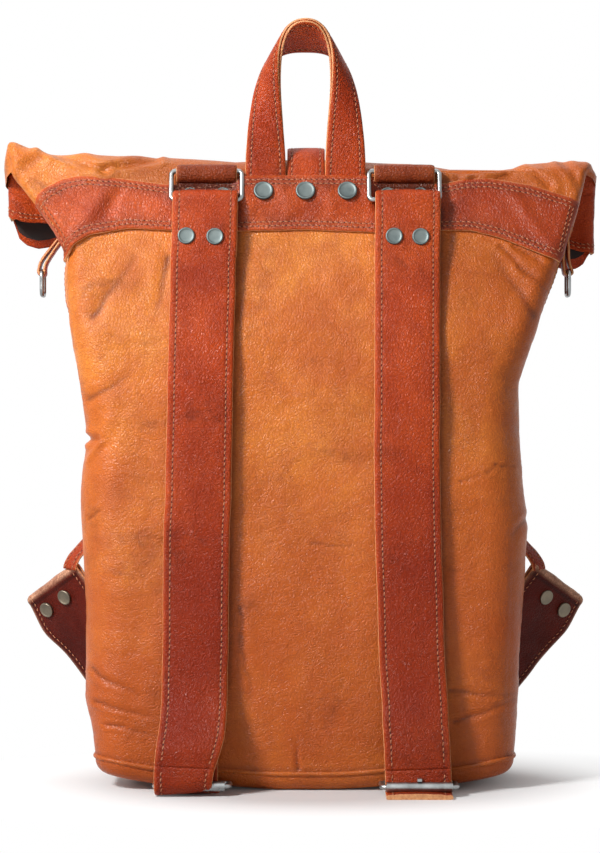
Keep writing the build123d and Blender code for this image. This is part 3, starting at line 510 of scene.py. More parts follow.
def rivet_mesh(name, spots, body, mat=None, seg=36):
    """Flat caps with a raised, rounded rim: spots are (centre, normal, radius)."""
    prof = [(0.0, 0.95), (0.35, 0.97), (0.66, 1.0), (0.74, 1.08), (0.81, 1.38), (0.87, 1.5), (0.94, 1.38),
            (0.985, 1.05), (1.0, 0.6), (0.99, -0.5)]
    verts, faces = [], []
    for c, n, r in spots:
        n = unit(n)
        a = unit(np.cross(n, [0.31, 0.2, 0.93]))
        b = np.cross(n, a)
        base = len(verts)
        for rr, hh in prof[1:]:
            for k in range(seg):
                t = 2 * math.pi * k / seg
                verts.append(np.asarray(c) + (a * math.cos(t) + b * math.sin(t)) * rr * r + n * hh)
        verts.append(np.asarray(c) + n * prof[0][1])
        m = len(prof) - 1
        for i in range(m - 1):
            for k in range(seg):
                k2 = (k + 1) % seg
                low, high = base + i * seg, base + (i + 1) * seg
                faces.append((low + k, low + k2, high + k2, high + k))
        for k in range(seg):
            faces.append((base + m * seg, base + (k + 1) % seg, base + k))
    ob = make(name, verts, faces, [mat or CAP])
    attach(ob, body)
    return ob


# ---------------------------------------------------------------- body of the bag
Z_TAB = np.arange(0.0, 471.0, 1.0)


def table_of(pairs, blur=9):
    return blurred(np.interp(Z_TAB, *zip(*pairs)), blur)


LEFT = table_of([(0, 147), (12, 148), (30, 150), (61, 155), (131, 155), (187, 158.5), (201, 158.7), (222, 157.2),
                 (238, 154.5), (247, 153.2), (262, 155.5), (271, 156.5), (285, 159), (320, 165.5), (345, 168.5),
                 (362, 169.5), (376, 167.5), (392, 176), (409, 188), (425, 201), (434, 208), (440, 211), (470, 218)], 5)
RIGHT = table_of([(0, 145), (12, 147), (37, 149), (68, 151), (131, 153), (160, 154), (187, 156), (215, 153),
                  (250, 150), (285, 150), (320, 163), (348, 173), (362, 178), (385, 185), (408, 192), (439, 200),
                  (470, 209)], 6)
BACK = table_of([(0, -60), (12, -60), (60, -62), (130, -63), (187, -63), (241, -62.5), (287, -62),
                 (320, back_plane(320)), (350, back_plane(350)), (470, back_plane(470))], 12)
FRONT = table_of([(0, 60), (12, 60), (60, 62), (130, 62), (187, 61), (241, 58), (287, 47),
                  (320, front_plane(320)), (350, front_plane(350)), (470, front_plane(470))], 12)
ROUND = table_of([(12, 24), (60, 28), (130, 30), (187, 30), (241, 28), (287, 25), (320, 21), (350, 17), (390, 11),
                  (420, 8.6), (434, 8.0), (470, 8.0)], 9)


def at(tab, z):
    return np.interp(z, Z_TAB, tab)


N_BACK, N_CORNER, N_SIDE, N_FRONT = 230, 22, 44, 150


def cross(z, grow=0.0):
    """Outline of the body at heights z, grown outward: (columns, heights, 3)."""
    z = np.atleast_1d(z)
    l, r = at(LEFT, z) + grow, at(RIGHT, z) + grow
    yb, yf, rad = at(BACK, z) - grow, at(FRONT, z) + grow, np.maximum(at(ROUND, z) + grow, 2.0)
    cols = []

    def line(n):
        return np.linspace(0, 1, n, endpoint=False)

    def corner(cx, cy, a0):
        for k in line(N_CORNER):
            a = a0 + k * math.pi / 2
            cols.append((cx + rad * math.cos(a), cy + rad * math.sin(a)))

    for k in line(N_BACK):
        cols.append((-l + rad + (l + r - 2 * rad) * k, yb))
    corner(r - rad, yb + rad, -math.pi / 2)
    for k in line(N_SIDE):
        cols.append((r, yb + rad + (yf - yb - 2 * rad) * k))
    corner(r - rad, yf - rad, 0.0)
    for k in line(N_FRONT):
        cols.append((r - rad - (l + r - 2 * rad) * k, yf))
    corner(-l + rad, yf - rad, math.pi / 2)
    for k in line(N_SIDE):
        cols.append((-l, yf - rad - (yf - yb - 2 * rad) * k))
    corner(-l + rad, yb + rad, math.pi)
    P = np.zeros((len(cols), len(z), 3))
    for i, (x, y) in enumerate(cols):
        P[i, :, 0], P[i, :, 1], P[i, :, 2] = x, y, z
    return P


# middle line of each shoulder strap: heights and the x there
STRAP_X = {"left": ([10, 100, 200, 330, 413], [-77.6, -76.2, -74.5, -72.0, -70.0]),
           "right": ([10, 100, 200, 330, 413], [77.8, 73.0, 70.2, 70.4, 71.8])}

# creases of the back panel: x0, z0, x1, z1, depth, width
CREASES = [
    (-154, 247, -142, 243, 2.8, 2.4), (-142, 242, -153, 228, -1.9, 2.2), (-142, 242, -133, 273, -1.1, 3.0),
    (-150, 272, -122, 290, 0.8, 3.2), (-152, 190, -142, 194, 1.2, 2.0),
    (-148, 60, -108, 52, 1.2, 2.2), (-150, 84, -116, 66, 1.2, 2.4), (-140, 40, -104, 38, 0.9, 2.0),
    (88, 211, 108, 214, 0.25, 1.1), (106, 213, 127, 221, 0.4, 1.1), (124, 220, 134, 227, 0.6, 1.1),
    (132, 227, 152, 225, 0.7, 1.1), (112, 217, 130, 218, 0.2, 1.0),
    (104, 200, 122, 196, 0.15, 1.0), (118, 202, 142, 195, 0.15, 1.0), (88, 163, 103, 153, 0.7, 1.2),
    (90, 158, 106, 150, 0.35, 1.0), (102, 153, 120, 149, 0.25, 1.1),
    (156, 190, 143, 177, 1.2, 2.6), (100, 70, 148, 66, 0.9, 2.4), (104, 46, 147, 62, 1.0, 2.4),
    (136, 379, 172, 352, 1.4, 1.5), (146, 381, 177, 361, 1.1, 1.4), (150, 367, 174, 345, 0.9, 1.4),
    (-5, 16, -6, 34, 1.0, 1.8), (4, 172, 34, 170, 0.5, 1.6), (-46, 128, -38, 60, 0.6, 3.0),
    (-148, 330, -120, 372, 1.0, 5.0), (160, 330, 132, 374, 0.9, 5.0), (-96, 372, -104, 330, 0.8, 4.0),
]


def crease_field(x, z, warp_seed=5):
    """Depth of the creases at points of the back panel, and their darkness, which is painted shade in the crease
    valleys.
    """
    p = np.stack([x, np.zeros_like(x), z], -1).reshape(-1, 3)
    wx = noise(p, 14, warp_seed, 2).reshape(x.shape) * 3.0
    wz = noise(p, 14, warp_seed + 9, 2).reshape(x.shape) * 3.0
    xs, zs = x + wx, z + wz
    depth = np.zeros_like(x)
    dark = np.zeros_like(x)
    for x0, z0, x1, z1, d, w in CREASES:
        t, tc, dist = from_segment(xs, zs, x0, z0, x1, z1)
        end = np.clip(1 - np.abs(t - tc) * 3, 0, 1)
        fade = (1 - 0.75 * tc) * end
        g = np.exp(-(dist / w) ** 2)
        ridge = np.exp(-((dist - 2.1 * w) / (1.1 * w)) ** 2)
        depth += d * fade * (-g + 0.45 * ridge)
        dark = np.maximum(dark, fade * np.exp(-(dist / (0.5 * w)) ** 2) * np.clip(2.4 * d, 0, 1.4) / 1.4)
    return depth, dark


def corner_rise(x):
    """How far the lower corners of the bag curl up off the floor."""
    return 3.5 * bump_fn(np.abs(x), 15, 80) + 6.5 * bump_fn(np.abs(x), 96, 148)


def soften(P, N, lining=0.0):
    """Sag, dents, wrinkles and creases of the body, as moved points with darkness and wear values; the darkness is
    painted shade in creases, in the seam above the base and beside the straps.
    """
    X, Y, Z = P[..., 0], P[..., 1], P[..., 2]
    flat = P.reshape(-1, 3)
    hold = bump_fn(Z, 13, 34) * (1 - 0.85 * bump_fn(Z, 372, 392))
    low = noise(flat, 95, 1, 2).reshape(X.shape)
    mid = noise(flat, 34, 2, 2).reshape(X.shape)
    tiny = noise(flat * np.array([1.0, 1.0, 1.6]), 9, 3, 3).reshape(X.shape)
    soft = np.abs(noise(flat * np.array([0.7, 1.0, 1.5]), 20, 8, 2)).reshape(X.shape)
    disp = hold * (2.4 * low + 0.9 * mid + 0.3 * tiny) - 0.2 * np.exp(-(soft / 0.08) ** 2) * hold
    middle = (at(BACK, Z) + at(FRONT, Z)) / 2
    side = bump_fn(np.abs(X), 118, 143) * (1 - bump_fn(np.abs(Y - middle), 4, 26))
    disp -= 11.0 * side * bump_fn(Z, 90, 190) * (1 - bump_fn(Z, 285, 345))
    on_back = Y < at(BACK, Z) + 6
    disp += on_back * 2.2 * np.exp(-((Z - 120) / 95) ** 2) * (1 - (X / 165) ** 2)
    disp += on_back * 1.2 * np.exp(-((np.abs(X) - 74) / 28) ** 2) * bump_fn(Z, 60, 120) * (1 - bump_fn(Z, 300, 360))
    depth, dark = crease_field(X, Z)
    mask = bump_fn(-Y, 8, 30)
    disp += depth * mask
    # painted shadow on the back along the right side of each shoulder strap
    for spine in STRAP_X.values():
        right_side = np.interp(Z, spine[0], spine[1]) + STRAP_W / 2
        dark = np.maximum(dark, 0.6 * np.exp(-((X - right_side - 1.2) / 2.0) ** 2) * bump_fn(Z, 40, 90))
    # painted shade in the seam just above the base cord
    crease = np.clip(dark * mask + 0.5 * np.exp(-((Z - 14) / 2.5) ** 2), 0, 1)
    # fine crease lines darkened as painted shade
    fine = 0.12 * np.exp(-(soft / 0.06) ** 2) * hold * (noise(flat, 60, 12).reshape(X.shape) > 0.1)
    crease = np.maximum(crease, fine)
    wear = 0.35 * np.clip(low, 0, 1) * bump_fn(np.abs(X), 130, 150)
    Q = P + N * (disp - lining)[..., None]
    Q[..., 2] += corner_rise(X) * (1 - bump_fn(Z, 12, 75))
    return Q, crease, wear


def outward(P):
    N = normals_of(np.concatenate([P[-1:], P, P[:1]], 0))[1:-1]
    centre = P.mean(0, keepdims=True)
    return N * np.sign(((P - centre) * N).sum(-1, keepdims=True))


rows = np.linspace(12.6, 434.4, 270)
raw = cross(rows)
skin, crease, wear = soften(raw, outward(raw))
bag = make("bag_body", skin.reshape(-1, 3), grid_faces(*skin.shape[:2], wrap_u=True), [TAN],
           attrs={"crease": crease.ravel(), "wear": wear.ravel()})
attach(bag, "bag")
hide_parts("back_shell", "front_shell")

# lining just inside the leather, open at the top
rows_in = np.linspace(14.0, 428.0, 90)
raw_in = cross(rows_in)[::2]
cloth, _, _ = soften(raw_in, outward(raw_in), 3.4)
lin = make("bag_lining", cloth.reshape(-1, 3), grid_faces(*cloth.shape[:2], wrap_u=True), [CLOTH])
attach(lin, "bag")
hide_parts("lining")

# ---------------------------------------------------------------- base tray and its piping
def foot(z, inset):
    """One loop of the base outline at a height, pulled in by an inset."""
    P = cross(np.array([12.0]), -inset)[:, 0].copy()
    P[:, 2] = z + corner_rise(P[:, 0])
    return P


def closed_below(loops):
    """Faces of a stack of loops, with one face over the last."""
    n, m = loops.shape[:2]
    return [list(q) for q in grid_faces(n, m, wrap_u=True)] + [[i * m + m - 1 for i in range(n)]]


loops = [foot(12.4, 0.2), foot(11.0, -0.1)]
for k in range(13):
    a = math.pi / 2 * k / 12
    loops.append(foot(10.0 - 10.0 * math.sin(a), 9.0 - 9.0 * math.cos(a)))
for inset in (16, 26, 40, 55):
    loops.append(foot(0.0, inset))
base = np.stack(loops, 1)
loop_no = np.arange(base.shape[1])[None, :]
base[..., 2] = np.where(loop_no > 14, base[..., 2] * 0.9, base[..., 2])
uneven = noise(base.reshape(-1, 3), 30, 21, 2).reshape(base.shape[:2])
base[..., 1] += 0.5 * uneven * (1 - bump_fn(loop_no, 13, 16)) * np.sign(base[..., 1])
# painted shade just under the cord and down the rounded lower edge towards the floor
tray_painted_shade = np.tile(np.r_[0.7, 0.45, np.linspace(0.15, 0.35, 13), np.zeros(4)], (base.shape[0], 1))
ob = make("base_tray", base.reshape(-1, 3), closed_below(base), [TAN],
          attrs={"crease": tray_painted_shade.ravel(), "wear": 0 * tray_painted_shade.ravel()})
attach(ob, "bag")
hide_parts("base_panel")

stiff = np.stack([foot(4.5, inset) for inset in (8, 20, 34, 50)], 1)
ob = make("base_stiffener", stiff.reshape(-1, 3), closed_below(stiff), [BOARD])
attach(ob, "bag")
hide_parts("base_board")


def tube_mesh(name, path, radius, body, mat, closed=False, seg=10):
    """Round cord along a path."""
    P = np.asarray(path, float)
    n = len(P)
    T = unit(np.roll(P, -1, 0) - np.roll(P, 1, 0)) if closed else unit(np.gradient(P, axis=0))
    ref = np.array([0.0, 0.0, 1.0]) if abs(T[:, 2]).mean() < 0.7 else np.array([0.0, 1.0, 0.0])
    B = unit(np.cross(T, ref))
    Nn = np.cross(B, T)
    r = radius * (1 + 0.08 * noise(P, 6.0, 0, 2))
    ang = np.linspace(0, 2 * math.pi, seg, endpoint=False)
    circle = B[:, None] * np.cos(ang)[None, :, None] + Nn[:, None] * np.sin(ang)[None, :, None]
    V = P[:, None] + circle * r[:, None, None]
    zero = np.zeros(n * seg)
    ob = make(name, V.reshape(-1, 3), grid_faces(n, seg, wrap_u=closed, wrap_v=True), [mat],
              attrs={"crease": zero + 0.12, "wear": zero + 0.1})
    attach(ob, body)
    return ob


ob = tube_mesh("base_cord", foot(12.0, 0.1), 1.7, "bag", TAN, closed=True)
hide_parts("base_piping")

MID_R = N_BACK + N_CORNER + N_SIDE // 2
MID_L = N_BACK + N_CORNER + N_SIDE + N_CORNER + N_FRONT + N_CORNER + N_SIDE // 2
for name, col, sign in (("right", MID_R, 1), ("left", MID_L, -1)):
    line = skin[col]
    keep = line[(line[:, 2] > 20) & (line[:, 2] < 160)]
    tube_mesh(name + "_welt", keep + np.array([sign * 0.6, 0, 0]), 1.7, "bag", RED)
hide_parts("side_welts")

# ---------------------------------------------------------------- yoke round the top of the bag
def wrap(s, z, off):
    """Point at a signed distance s along the body's outline from the middle of the back, off the surface."""
    s, z = np.asarray(s, float), np.asarray(z, float)
    h = np.where(s < 0, at(LEFT, z), at(RIGHT, z))
    rad, yb = at(ROUND, z), at(BACK, z)
    a = np.abs(s)
    straight = h - rad
    ang = np.clip((a - straight) / rad, 0, math.pi / 2)
    beyond = np.maximum(a - straight - rad * math.pi / 2, 0)
    rr = rad + off
    x = np.where(a < straight, a, straight + rr * np.sin(ang))
    y = np.where(a < straight, yb - off, yb + rad - rr * np.cos(ang) + beyond)
    return np.stack([np.sign(s) * x, y, z + 0.0 * x], -1)


YOKE_COLS, CREST_COLS, WALL_ROWS = 340, 320, 34
ys = np.linspace(0.0, 1.0, YOKE_COLS)


def yoke_top(s):
    return np.interp(s, [-207, -196, -189, -181, -173, -159, -131, -99, -70, -45, 0, 45, 70, 98, 113, 130, 159, 184,
                         196],
                     [403, 408, 412.5, 421.5, 427.5, 430.5, 428.5, 424, 425, 430, 430.5, 430, 425, 424.5, 428, 428.5,
                      423.5, 415.5, 410.5])


def yoke_low_z(s):
    return np.interp(s, [-180, -172, -166, -161, -151, -123, -95, -60, 0, 60, 98, 116, 137, 158, 180, 196],
                     [368, 371, 376, 382.5, 388.5, 393, 391.5, 390.5, 392, 389.5, 391.5, 391.5, 386, 377.5, 368.5, 362])


def yoke_s(z, g):
    low, high = -at(LEFT, z) - 8.0, at(RIGHT, z) - 1.0
    return low + (high - low) * g


zt, zl = np.full(YOKE_COLS, 410.0), np.full(YOKE_COLS, 380.0)
for _ in range(5):
    zt, zl = blurred(yoke_top(yoke_s(zt, ys))), blurred(yoke_low_z(yoke_s(zl, ys)))
vv = np.linspace(0, 1, 40)
G, V = np.meshgrid(ys, vv, indexing="ij")
ZZ = zl[:, None] + (zt - zl)[:, None] * V
S = yoke_s(ZZ, G)
edge = np.minimum(V, 1 - V) * (zt - zl)[:, None]
q = wrap(S, ZZ, 0.0).reshape(-1, 3)
ripple = (0.9 * noise(q, 55, 31, 2) + 0.4 * noise(q, 12, 33, 2)).reshape(S.shape) * bump_fn(edge, 0, 9)
fold = np.zeros_like(S)
for s0, z0, lean, wide, high in ((-150, 405, 0.6, 6.0, 1.7), (-138, 405, 0.5, 5.0, -1.2), (158, 400, -0.7, 6.0, 1.4)):
    fold += high * np.exp(-((S - s0 - (ZZ - z0) * lean) / wide) ** 2)
for mid_s, high in ((-15.0, 0.9), (-42.0, 0.7), (-3.0, -0.4), (16.0, 0.8), (38.0, -0.4)):
    fold += high * np.exp(-((S - mid_s - 3 * np.sin(ZZ / 7.0)) / 4.5) ** 2)
off = 2.8 + ripple + fold * bump_fn(edge, 2, 12)
off += 3.2 * bump_fn(ZZ, 396, 414) * (1 - bump_fn(np.abs(S), 44, 54))
off += 1.0 * bump_fn(ZZ, 404, 418) * (1 - bump_fn(np.abs(S), 92, 102))
dark = np.zeros_like(S)
# stitch grooves pressed in and darkened as painted shade
for g in (3.0, 5.8):
    off = off - 0.34 * np.exp(-((edge - g) / 0.9) ** 2)
    dark = np.maximum(dark, 0.42 * np.exp(-((edge - g) / 0.8) ** 2))
# painted shade on the yoke under the ring loops
for s0 in (-RING_X, RING_X):
    painted_shade = (1 - bump_fn(np.abs(S - s0), 19, 25)) * bump_fn(ZZ, 402, 410)
    dark = np.maximum(dark, painted_shade)
off = off + 0.5 * np.exp(-((edge - 4.4) / 2.4) ** 2) - 0.55 * np.exp(-(edge / 0.8) ** 2)
dark = np.maximum(dark, 0.30 * np.exp(-((edge - 5.0) / 5.0) ** 2))
# painted shadow on the yoke along the right side of each strap
for spine in STRAP_X.values():
    beside = S - spine[1][-1] - STRAP_W / 2
    dark = np.maximum(dark, 0.8 * np.exp(-((beside - 1.5) / 2.2) ** 2) * (1 - bump_fn(ZZ, 404, 414)))
yoke_face = wrap(S, ZZ, off)
under = wrap(S, ZZ, 0.35)
ring = np.concatenate([yoke_face, ((yoke_face[:, -1:] + under[:, -1:]) / 2) + np.array([0, 0, 0.4]), under[:, ::-1],
                       ((yoke_face[:, :1] + under[:, :1]) / 2) - np.array([0, 0, 0.4])], 1)
cols, m = len(vv), ring.shape[1]
mat = np.zeros(m, int)
mat[[cols - 1, cols, m - 2, m - 1]] = 1
rub = 0.7 * np.exp(-(edge / 1.1) ** 2)
rest = np.zeros((len(ys), cols + 2))
cr, wr = np.concatenate([dark, rest], 1), np.concatenate([rub, rest], 1)
yoke = strip_mesh("yoke_band", (ring, mat, cr, wr, yoke_face), "bag", mats=[YOKE, EDGE])
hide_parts("yoke")
inside_bag = np.array([0, 20, 400])
rows_y = []
for g in (3.0, 5.8):
    for sgn in (-1, 1):
        k = np.clip(g / (zt - zl), 0, 1) if sgn < 0 else 1 - g / (zt - zl)
        p, up = line_on(yoke_face, k * (cols - 1), inside_bag)
        rows_y.append((p[3:-3], up[3:-3]))
ends = []
for i in (9, 12, -4, -6):
    p = yoke_face[i, 4:-4]
    up = unit(np.cross(np.gradient(yoke_face, axis=0)[i, 4:-4], np.gradient(yoke_face, axis=1)[i, 4:-4]))
    up *= np.sign((up * (p - inside_bag)).sum(1, keepdims=True))
    ends.append((p, up))
stitch_mesh("yoke_stitches", rows_y + ends, "bag")

YOKE_OUT = 2.9
cap_normal = unit([0.0, -0.93, 0.36])
ob = rivet_mesh("yoke_caps", [(wrap(x, 419.2, YOKE_OUT + 4.3), cap_normal, 6.9) for x in (-29.5, 0.0, 29.5)], "bag")
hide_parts("yoke_rivets")

# ---------------------------------------------------------------- crest: the back wall turned over the fold line
path = []
for z in np.linspace(396, 434.5, 20):
    path.append((back_plane(z), z, 0.0))
arc_a = np.radians(np.linspace(166, 23, 34))
for k, a in enumerate(arc_a):
    r = CREST_R - CREST_TAPER * bump_fn(k / 33.0, 0.1, 0.75)
    path.append((FOLD_Y + r * math.cos(a), FOLD_Z + r * math.sin(a), (k + 1) / 34.0))
for t in np.linspace(1.5, 16, 9):
    path.append((FOLD_Y + FLAP_R * NF[0] + t * DF[0], FOLD_Z + FLAP_R * NF[1] + t * DF[1], 1.0))
path = np.array(path)
pt = unit(np.gradient(path[:, :2], axis=0))
pn = np.stack([-pt[:, 1], pt[:, 0]], -1)
nrows = len(path)
cg, _ = np.meshgrid(np.linspace(-1, 1, CREST_COLS), np.arange(nrows), indexing="ij")
kk = path[:, 2][None, :] * np.ones_like(cg)
zrow = path[:, 1][None, :] * np.ones_like(cg)
over = np.sin(np.clip(kk, 0, 1) * math.pi / 2) ** 0.8
left_e = np.where(kk > 0, -209.0 - 5.0 * over, -at(LEFT, zrow) - 0.8)
right_e = np.where(kk > 0, 200.5 + 7.0 * over, at(RIGHT, zrow) + 0.8)
mid_x, half_x = (left_e + right_e) / 2, (right_e - left_e) / 2
XX = mid_x + half_x * cg
inward = np.clip(np.abs(XX - mid_x) - (half_x - 6.0), 0, 6.0) / 6.0
roll = (7.0 - np.where(XX < 0, 3.5, 1.5) * bump_fn(kk, 0.1, 0.4)) * (1 - np.sqrt(1 - inward ** 2))
sag = np.interp(XX, [-214, -206, -197, -183, -147, -111, -82, -50, -20, 0, 20, 50, 75, 90, 103, 125, 147, 157, 182,
                     207],
                [8.5, 6.0, 2.0, -1.2, -3.6, -5.2, -6.2, -8.5, -7, -6, -7, -9, -10, -12, -14, -14, -14, -10, -8, -8.5])
q = np.stack([XX, path[:, 0][None, :] + 0 * XX, zrow], -1)
qn = q.reshape(-1, 3)
wave = (1.4 * noise(qn * np.array([1, 0.6, 0.6]), 62, 41, 2) + 0.22 * noise(qn, 14, 43, 2)).reshape(XX.shape)
off = wave * bump_fn(zrow, 424, 436) + 0.8 - roll
middle = bump_fn(XX, -182, -120) * (1 - bump_fn(XX, 112, 158))
crest_dark = 0.52 * middle * (0.8 + 0.4 * np.clip(wave, -1, 1))
back_half = 1 - bump_fn(kk, 0.35, 0.6)
wander = noise(qn, 16, 47, 2).reshape(XX.shape) * 2.0
CREST_FOLDS = ((-186, 452, -142, 436, 2.6), (-142, 436, -106, 447, 2.2), (-206, 428, -188, 444, 1.6),
               (92, 433, 114, 429, -2.2), (114, 429, 140, 434, -2.0), (150, 444, 172, 424, 1.8),
               (184, 446, 193, 424, 1.5))
for x0, z0, x1, z1, deep in CREST_FOLDS:
    dist = from_segment(XX, zrow, x0, z0, x1, z1)[2] + wander
    off -= deep * back_half * (np.exp(-(dist / 3.2) ** 2) - 0.5 * np.exp(-((np.abs(dist) - 6.5) / 3.2) ** 2))
    # fold valleys darkened as painted shade
    if deep > 0:
        crest_dark = np.maximum(crest_dark, 0.35 * back_half * np.exp(-(dist / 1.5) ** 2))
crest = q.copy()
crest[..., 1] += pn[:, 0][None, :] * off
crest[..., 2] += pn[:, 1][None, :] * off
drop = sag * bump_fn(zrow, 430, 450)
crest[..., 2] += drop
crest[..., 1] -= 0.45 * drop * bump_fn(kk, 0.7, 0.95)
# lighter along the top of the crest: rubbed leather and a painted highlight
crest_wear = 0.3 * bump_fn(zrow, 444, 452) * (1 - crest_dark / 0.5)
ob = make("crest_leather", crest.reshape(-1, 3), grid_faces(CREST_COLS, nrows), [TAN],
          attrs={"crease": crest_dark.ravel(), "wear": crest_wear.ravel()})
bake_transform(ob)
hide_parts("crest_strip", "fold_leather")
for side_name, rim, sign in (("left", crest[0, 19:], -1), ("right", crest[-1, 19:], 1)):
    hub = np.array([rim[:, 0].mean() + sign * 1.0, FOLD_Y + 0.5, FOLD_Z - 6.0])
    f = np.linspace(0, 1, 9)[:, None, None]
    cap = rim[None] + (hub - rim)[None] * f
    cap[..., 0] += sign * 1.8 * np.sin(math.pi * f[..., 0])
    cap[..., 0] += 0.6 * noise(cap.reshape(-1, 3), 14, 48).reshape(cap.shape[:2]) * np.sin(math.pi * f[..., 0])
    flat = np.zeros(cap.shape[0] * cap.shape[1])
    # darker towards the hub: painted shade inside the rolled end
    ob = make(side_name + "_crest_end", cap.reshape(-1, 3), grid_faces(*cap.shape[:2]), [TAN],
              attrs={"crease": flat + np.repeat(np.linspace(0, 0.5, 9), cap.shape[1]), "wear": flat})
    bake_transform(ob)

# ---------------------------------------------------------------- mouth band of the fold-over top
def flap_pt(n, t):
    return FOLD_Y + n * NF[0] + t * DF[0], FOLD_Z + n * NF[1] + t * DF[1]


def mouth(inset):
    """Closed loop round the mouth: columns of (x, n, t end)."""
    xl, xr = -214.0 + inset, 209.5 - inset
    n0, n1 = 1.2 + inset, 13.0 - inset
    r = (n1 - n0) / 2
    cols = []
    for x in np.linspace(xl + r, xr - r, 150, endpoint=False):
        cols.append((x, n0, 0.0))
    for a in np.linspace(0, math.pi, 14, endpoint=False):
        cols.append((xr - r + r * math.sin(a), n0 + r - r * math.cos(a), a / math.pi))
    for x in np.linspace(xr - r, xl + r, 150, endpoint=False):
        cols.append((x, n1, 1.0))
    for a in np.linspace(0, math.pi, 14, endpoint=False):
        cols.append((xl + r - r * math.sin(a), n1 - r + r * math.cos(a), 1 - a / math.pi))
    return np.array(cols)


def mouth_wall(inset):
    c = mouth(inset)
    near_t = np.interp(c[:, 0], [-214, -211, -206, -198, -185, -150, 0, 150, 185, 200, 209],
                       [27, 31, 34.5, 36.5, 38, 44, 44, 47, 55, 58.5, 56])
    far_t = np.interp(c[:, 0], [-214, -211, -208, -203, -195, -186, -178, -165, 0, 150, 180, 190, 199, 205, 209],
                      [38, 46, 53, 58, 60.5, 59, 56, 57, 58, 60, 72, 77, 76, 71.5, 66])
    end_t = near_t * (1 - c[:, 2]) + far_t * c[:, 2]
    f = np.linspace(0, 1, WALL_ROWS)
    start = 9.0 * c[:, 2] + 5.5 * (1 - c[:, 2]) * (1 - bump_fn(np.abs(c[:, 0]), 170, 186))
    T = start[:, None] + (end_t - start)[:, None] * f[None, :]
    Xc = c[:, 0][:, None] + 0 * T
    Nc = c[:, 1][:, None] + 0 * T
    q = np.stack([Xc, Nc * 2.0, T], -1).reshape(-1, 3)
    wob = (1.2 * noise(q, 38, 51, 2) + 0.4 * noise(q, 11, 53, 2)).reshape(T.shape)
    out = bump_fn(np.abs(Xc), 188, 206)
    side_s = np.where(c[:, 2] > 0.5, 1.0, -1.0)[:, None]
    Nc = Nc + wob * bump_fn(f, 0.1, 0.5)[None, :] * np.where(side_s > 0, 1.0, np.where(out > 0.2, 1.0, 0.35))
    Nc = Nc - side_s * -1.5 * out * f[None, :] * (side_s > 0)
    Nc = Nc - 5.0 * out * f[None, :] ** 1.5 * (side_s < 0)
    pleat = np.exp(-((T - 15 - 0.5 * (Xc + 213) * (Xc < 0)) / 1.6) ** 2)
    Nc = Nc + 1.3 * pleat * bump_fn(np.abs(Xc), 186, 196) * (side_s < 0)
    Xc = Xc + 1.5 * wob * out
    y = FOLD_Y + Nc * NF[0] + T * DF[0]
    z = FOLD_Z + Nc * NF[1] + T * DF[1]
    return np.stack([Xc, y, z], -1), T, end_t


outer_w, T_o, end_t = mouth_wall(0.0)
inner_w = mouth_wall(2.2)[0]
n_c = outer_w.shape[0]
verts = np.concatenate([outer_w, inner_w[:, ::-1]], 1)
m = verts.shape[1]
fm = np.zeros((n_c, m - 1), int)
# the cut edge, and past four rows of leather the inner face in near-black, painted shade inside the mouth
fm[:, WALL_ROWS - 1] = 1
fm[:, WALL_ROWS + 4:] = 2
to_edge = end_t[:, None] - T_o
# a darker line by the stitches, painted shade in the groove
cr = np.concatenate([0.45 * np.exp(-((to_edge - 5.0) / 0.9) ** 2), np.zeros((n_c, WALL_ROWS))], 1)
wr = np.concatenate([0.6 * np.exp(-(to_edge / 1.4) ** 2), np.zeros((n_c, WALL_ROWS))], 1)
ob = make("mouth_band", verts.reshape(-1, 3), grid_faces(n_c, m, wrap_u=True), [RED, EDGE, INSIDE_SHADE],
          face_mat=fm.ravel(), attrs={"crease": cr.ravel(), "wear": wr.ravel()})
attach(ob, "fold_top")
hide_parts("mouth_far", "mouth_near", "mouth_sides")
rows_m = []
for g in (3.2, 5.8):
    t_start = T_o[:, 0]
    k = (end_t - g - t_start) / (end_t - t_start) * (WALL_ROWS - 1)
    p, up = line_on(outer_w, k, outer_w.mean((0, 1)), weight=(0, 1, 1))
    rows_m.append((np.vstack([p, p[:1]]), np.vstack([up, up[:1]])))
stitch_mesh("mouth_stitches", rows_m, "fold_top")

# ---------------------------------------------------------------- shoulder straps
LOW_Y, LOW_Z = -45.2, 412.7
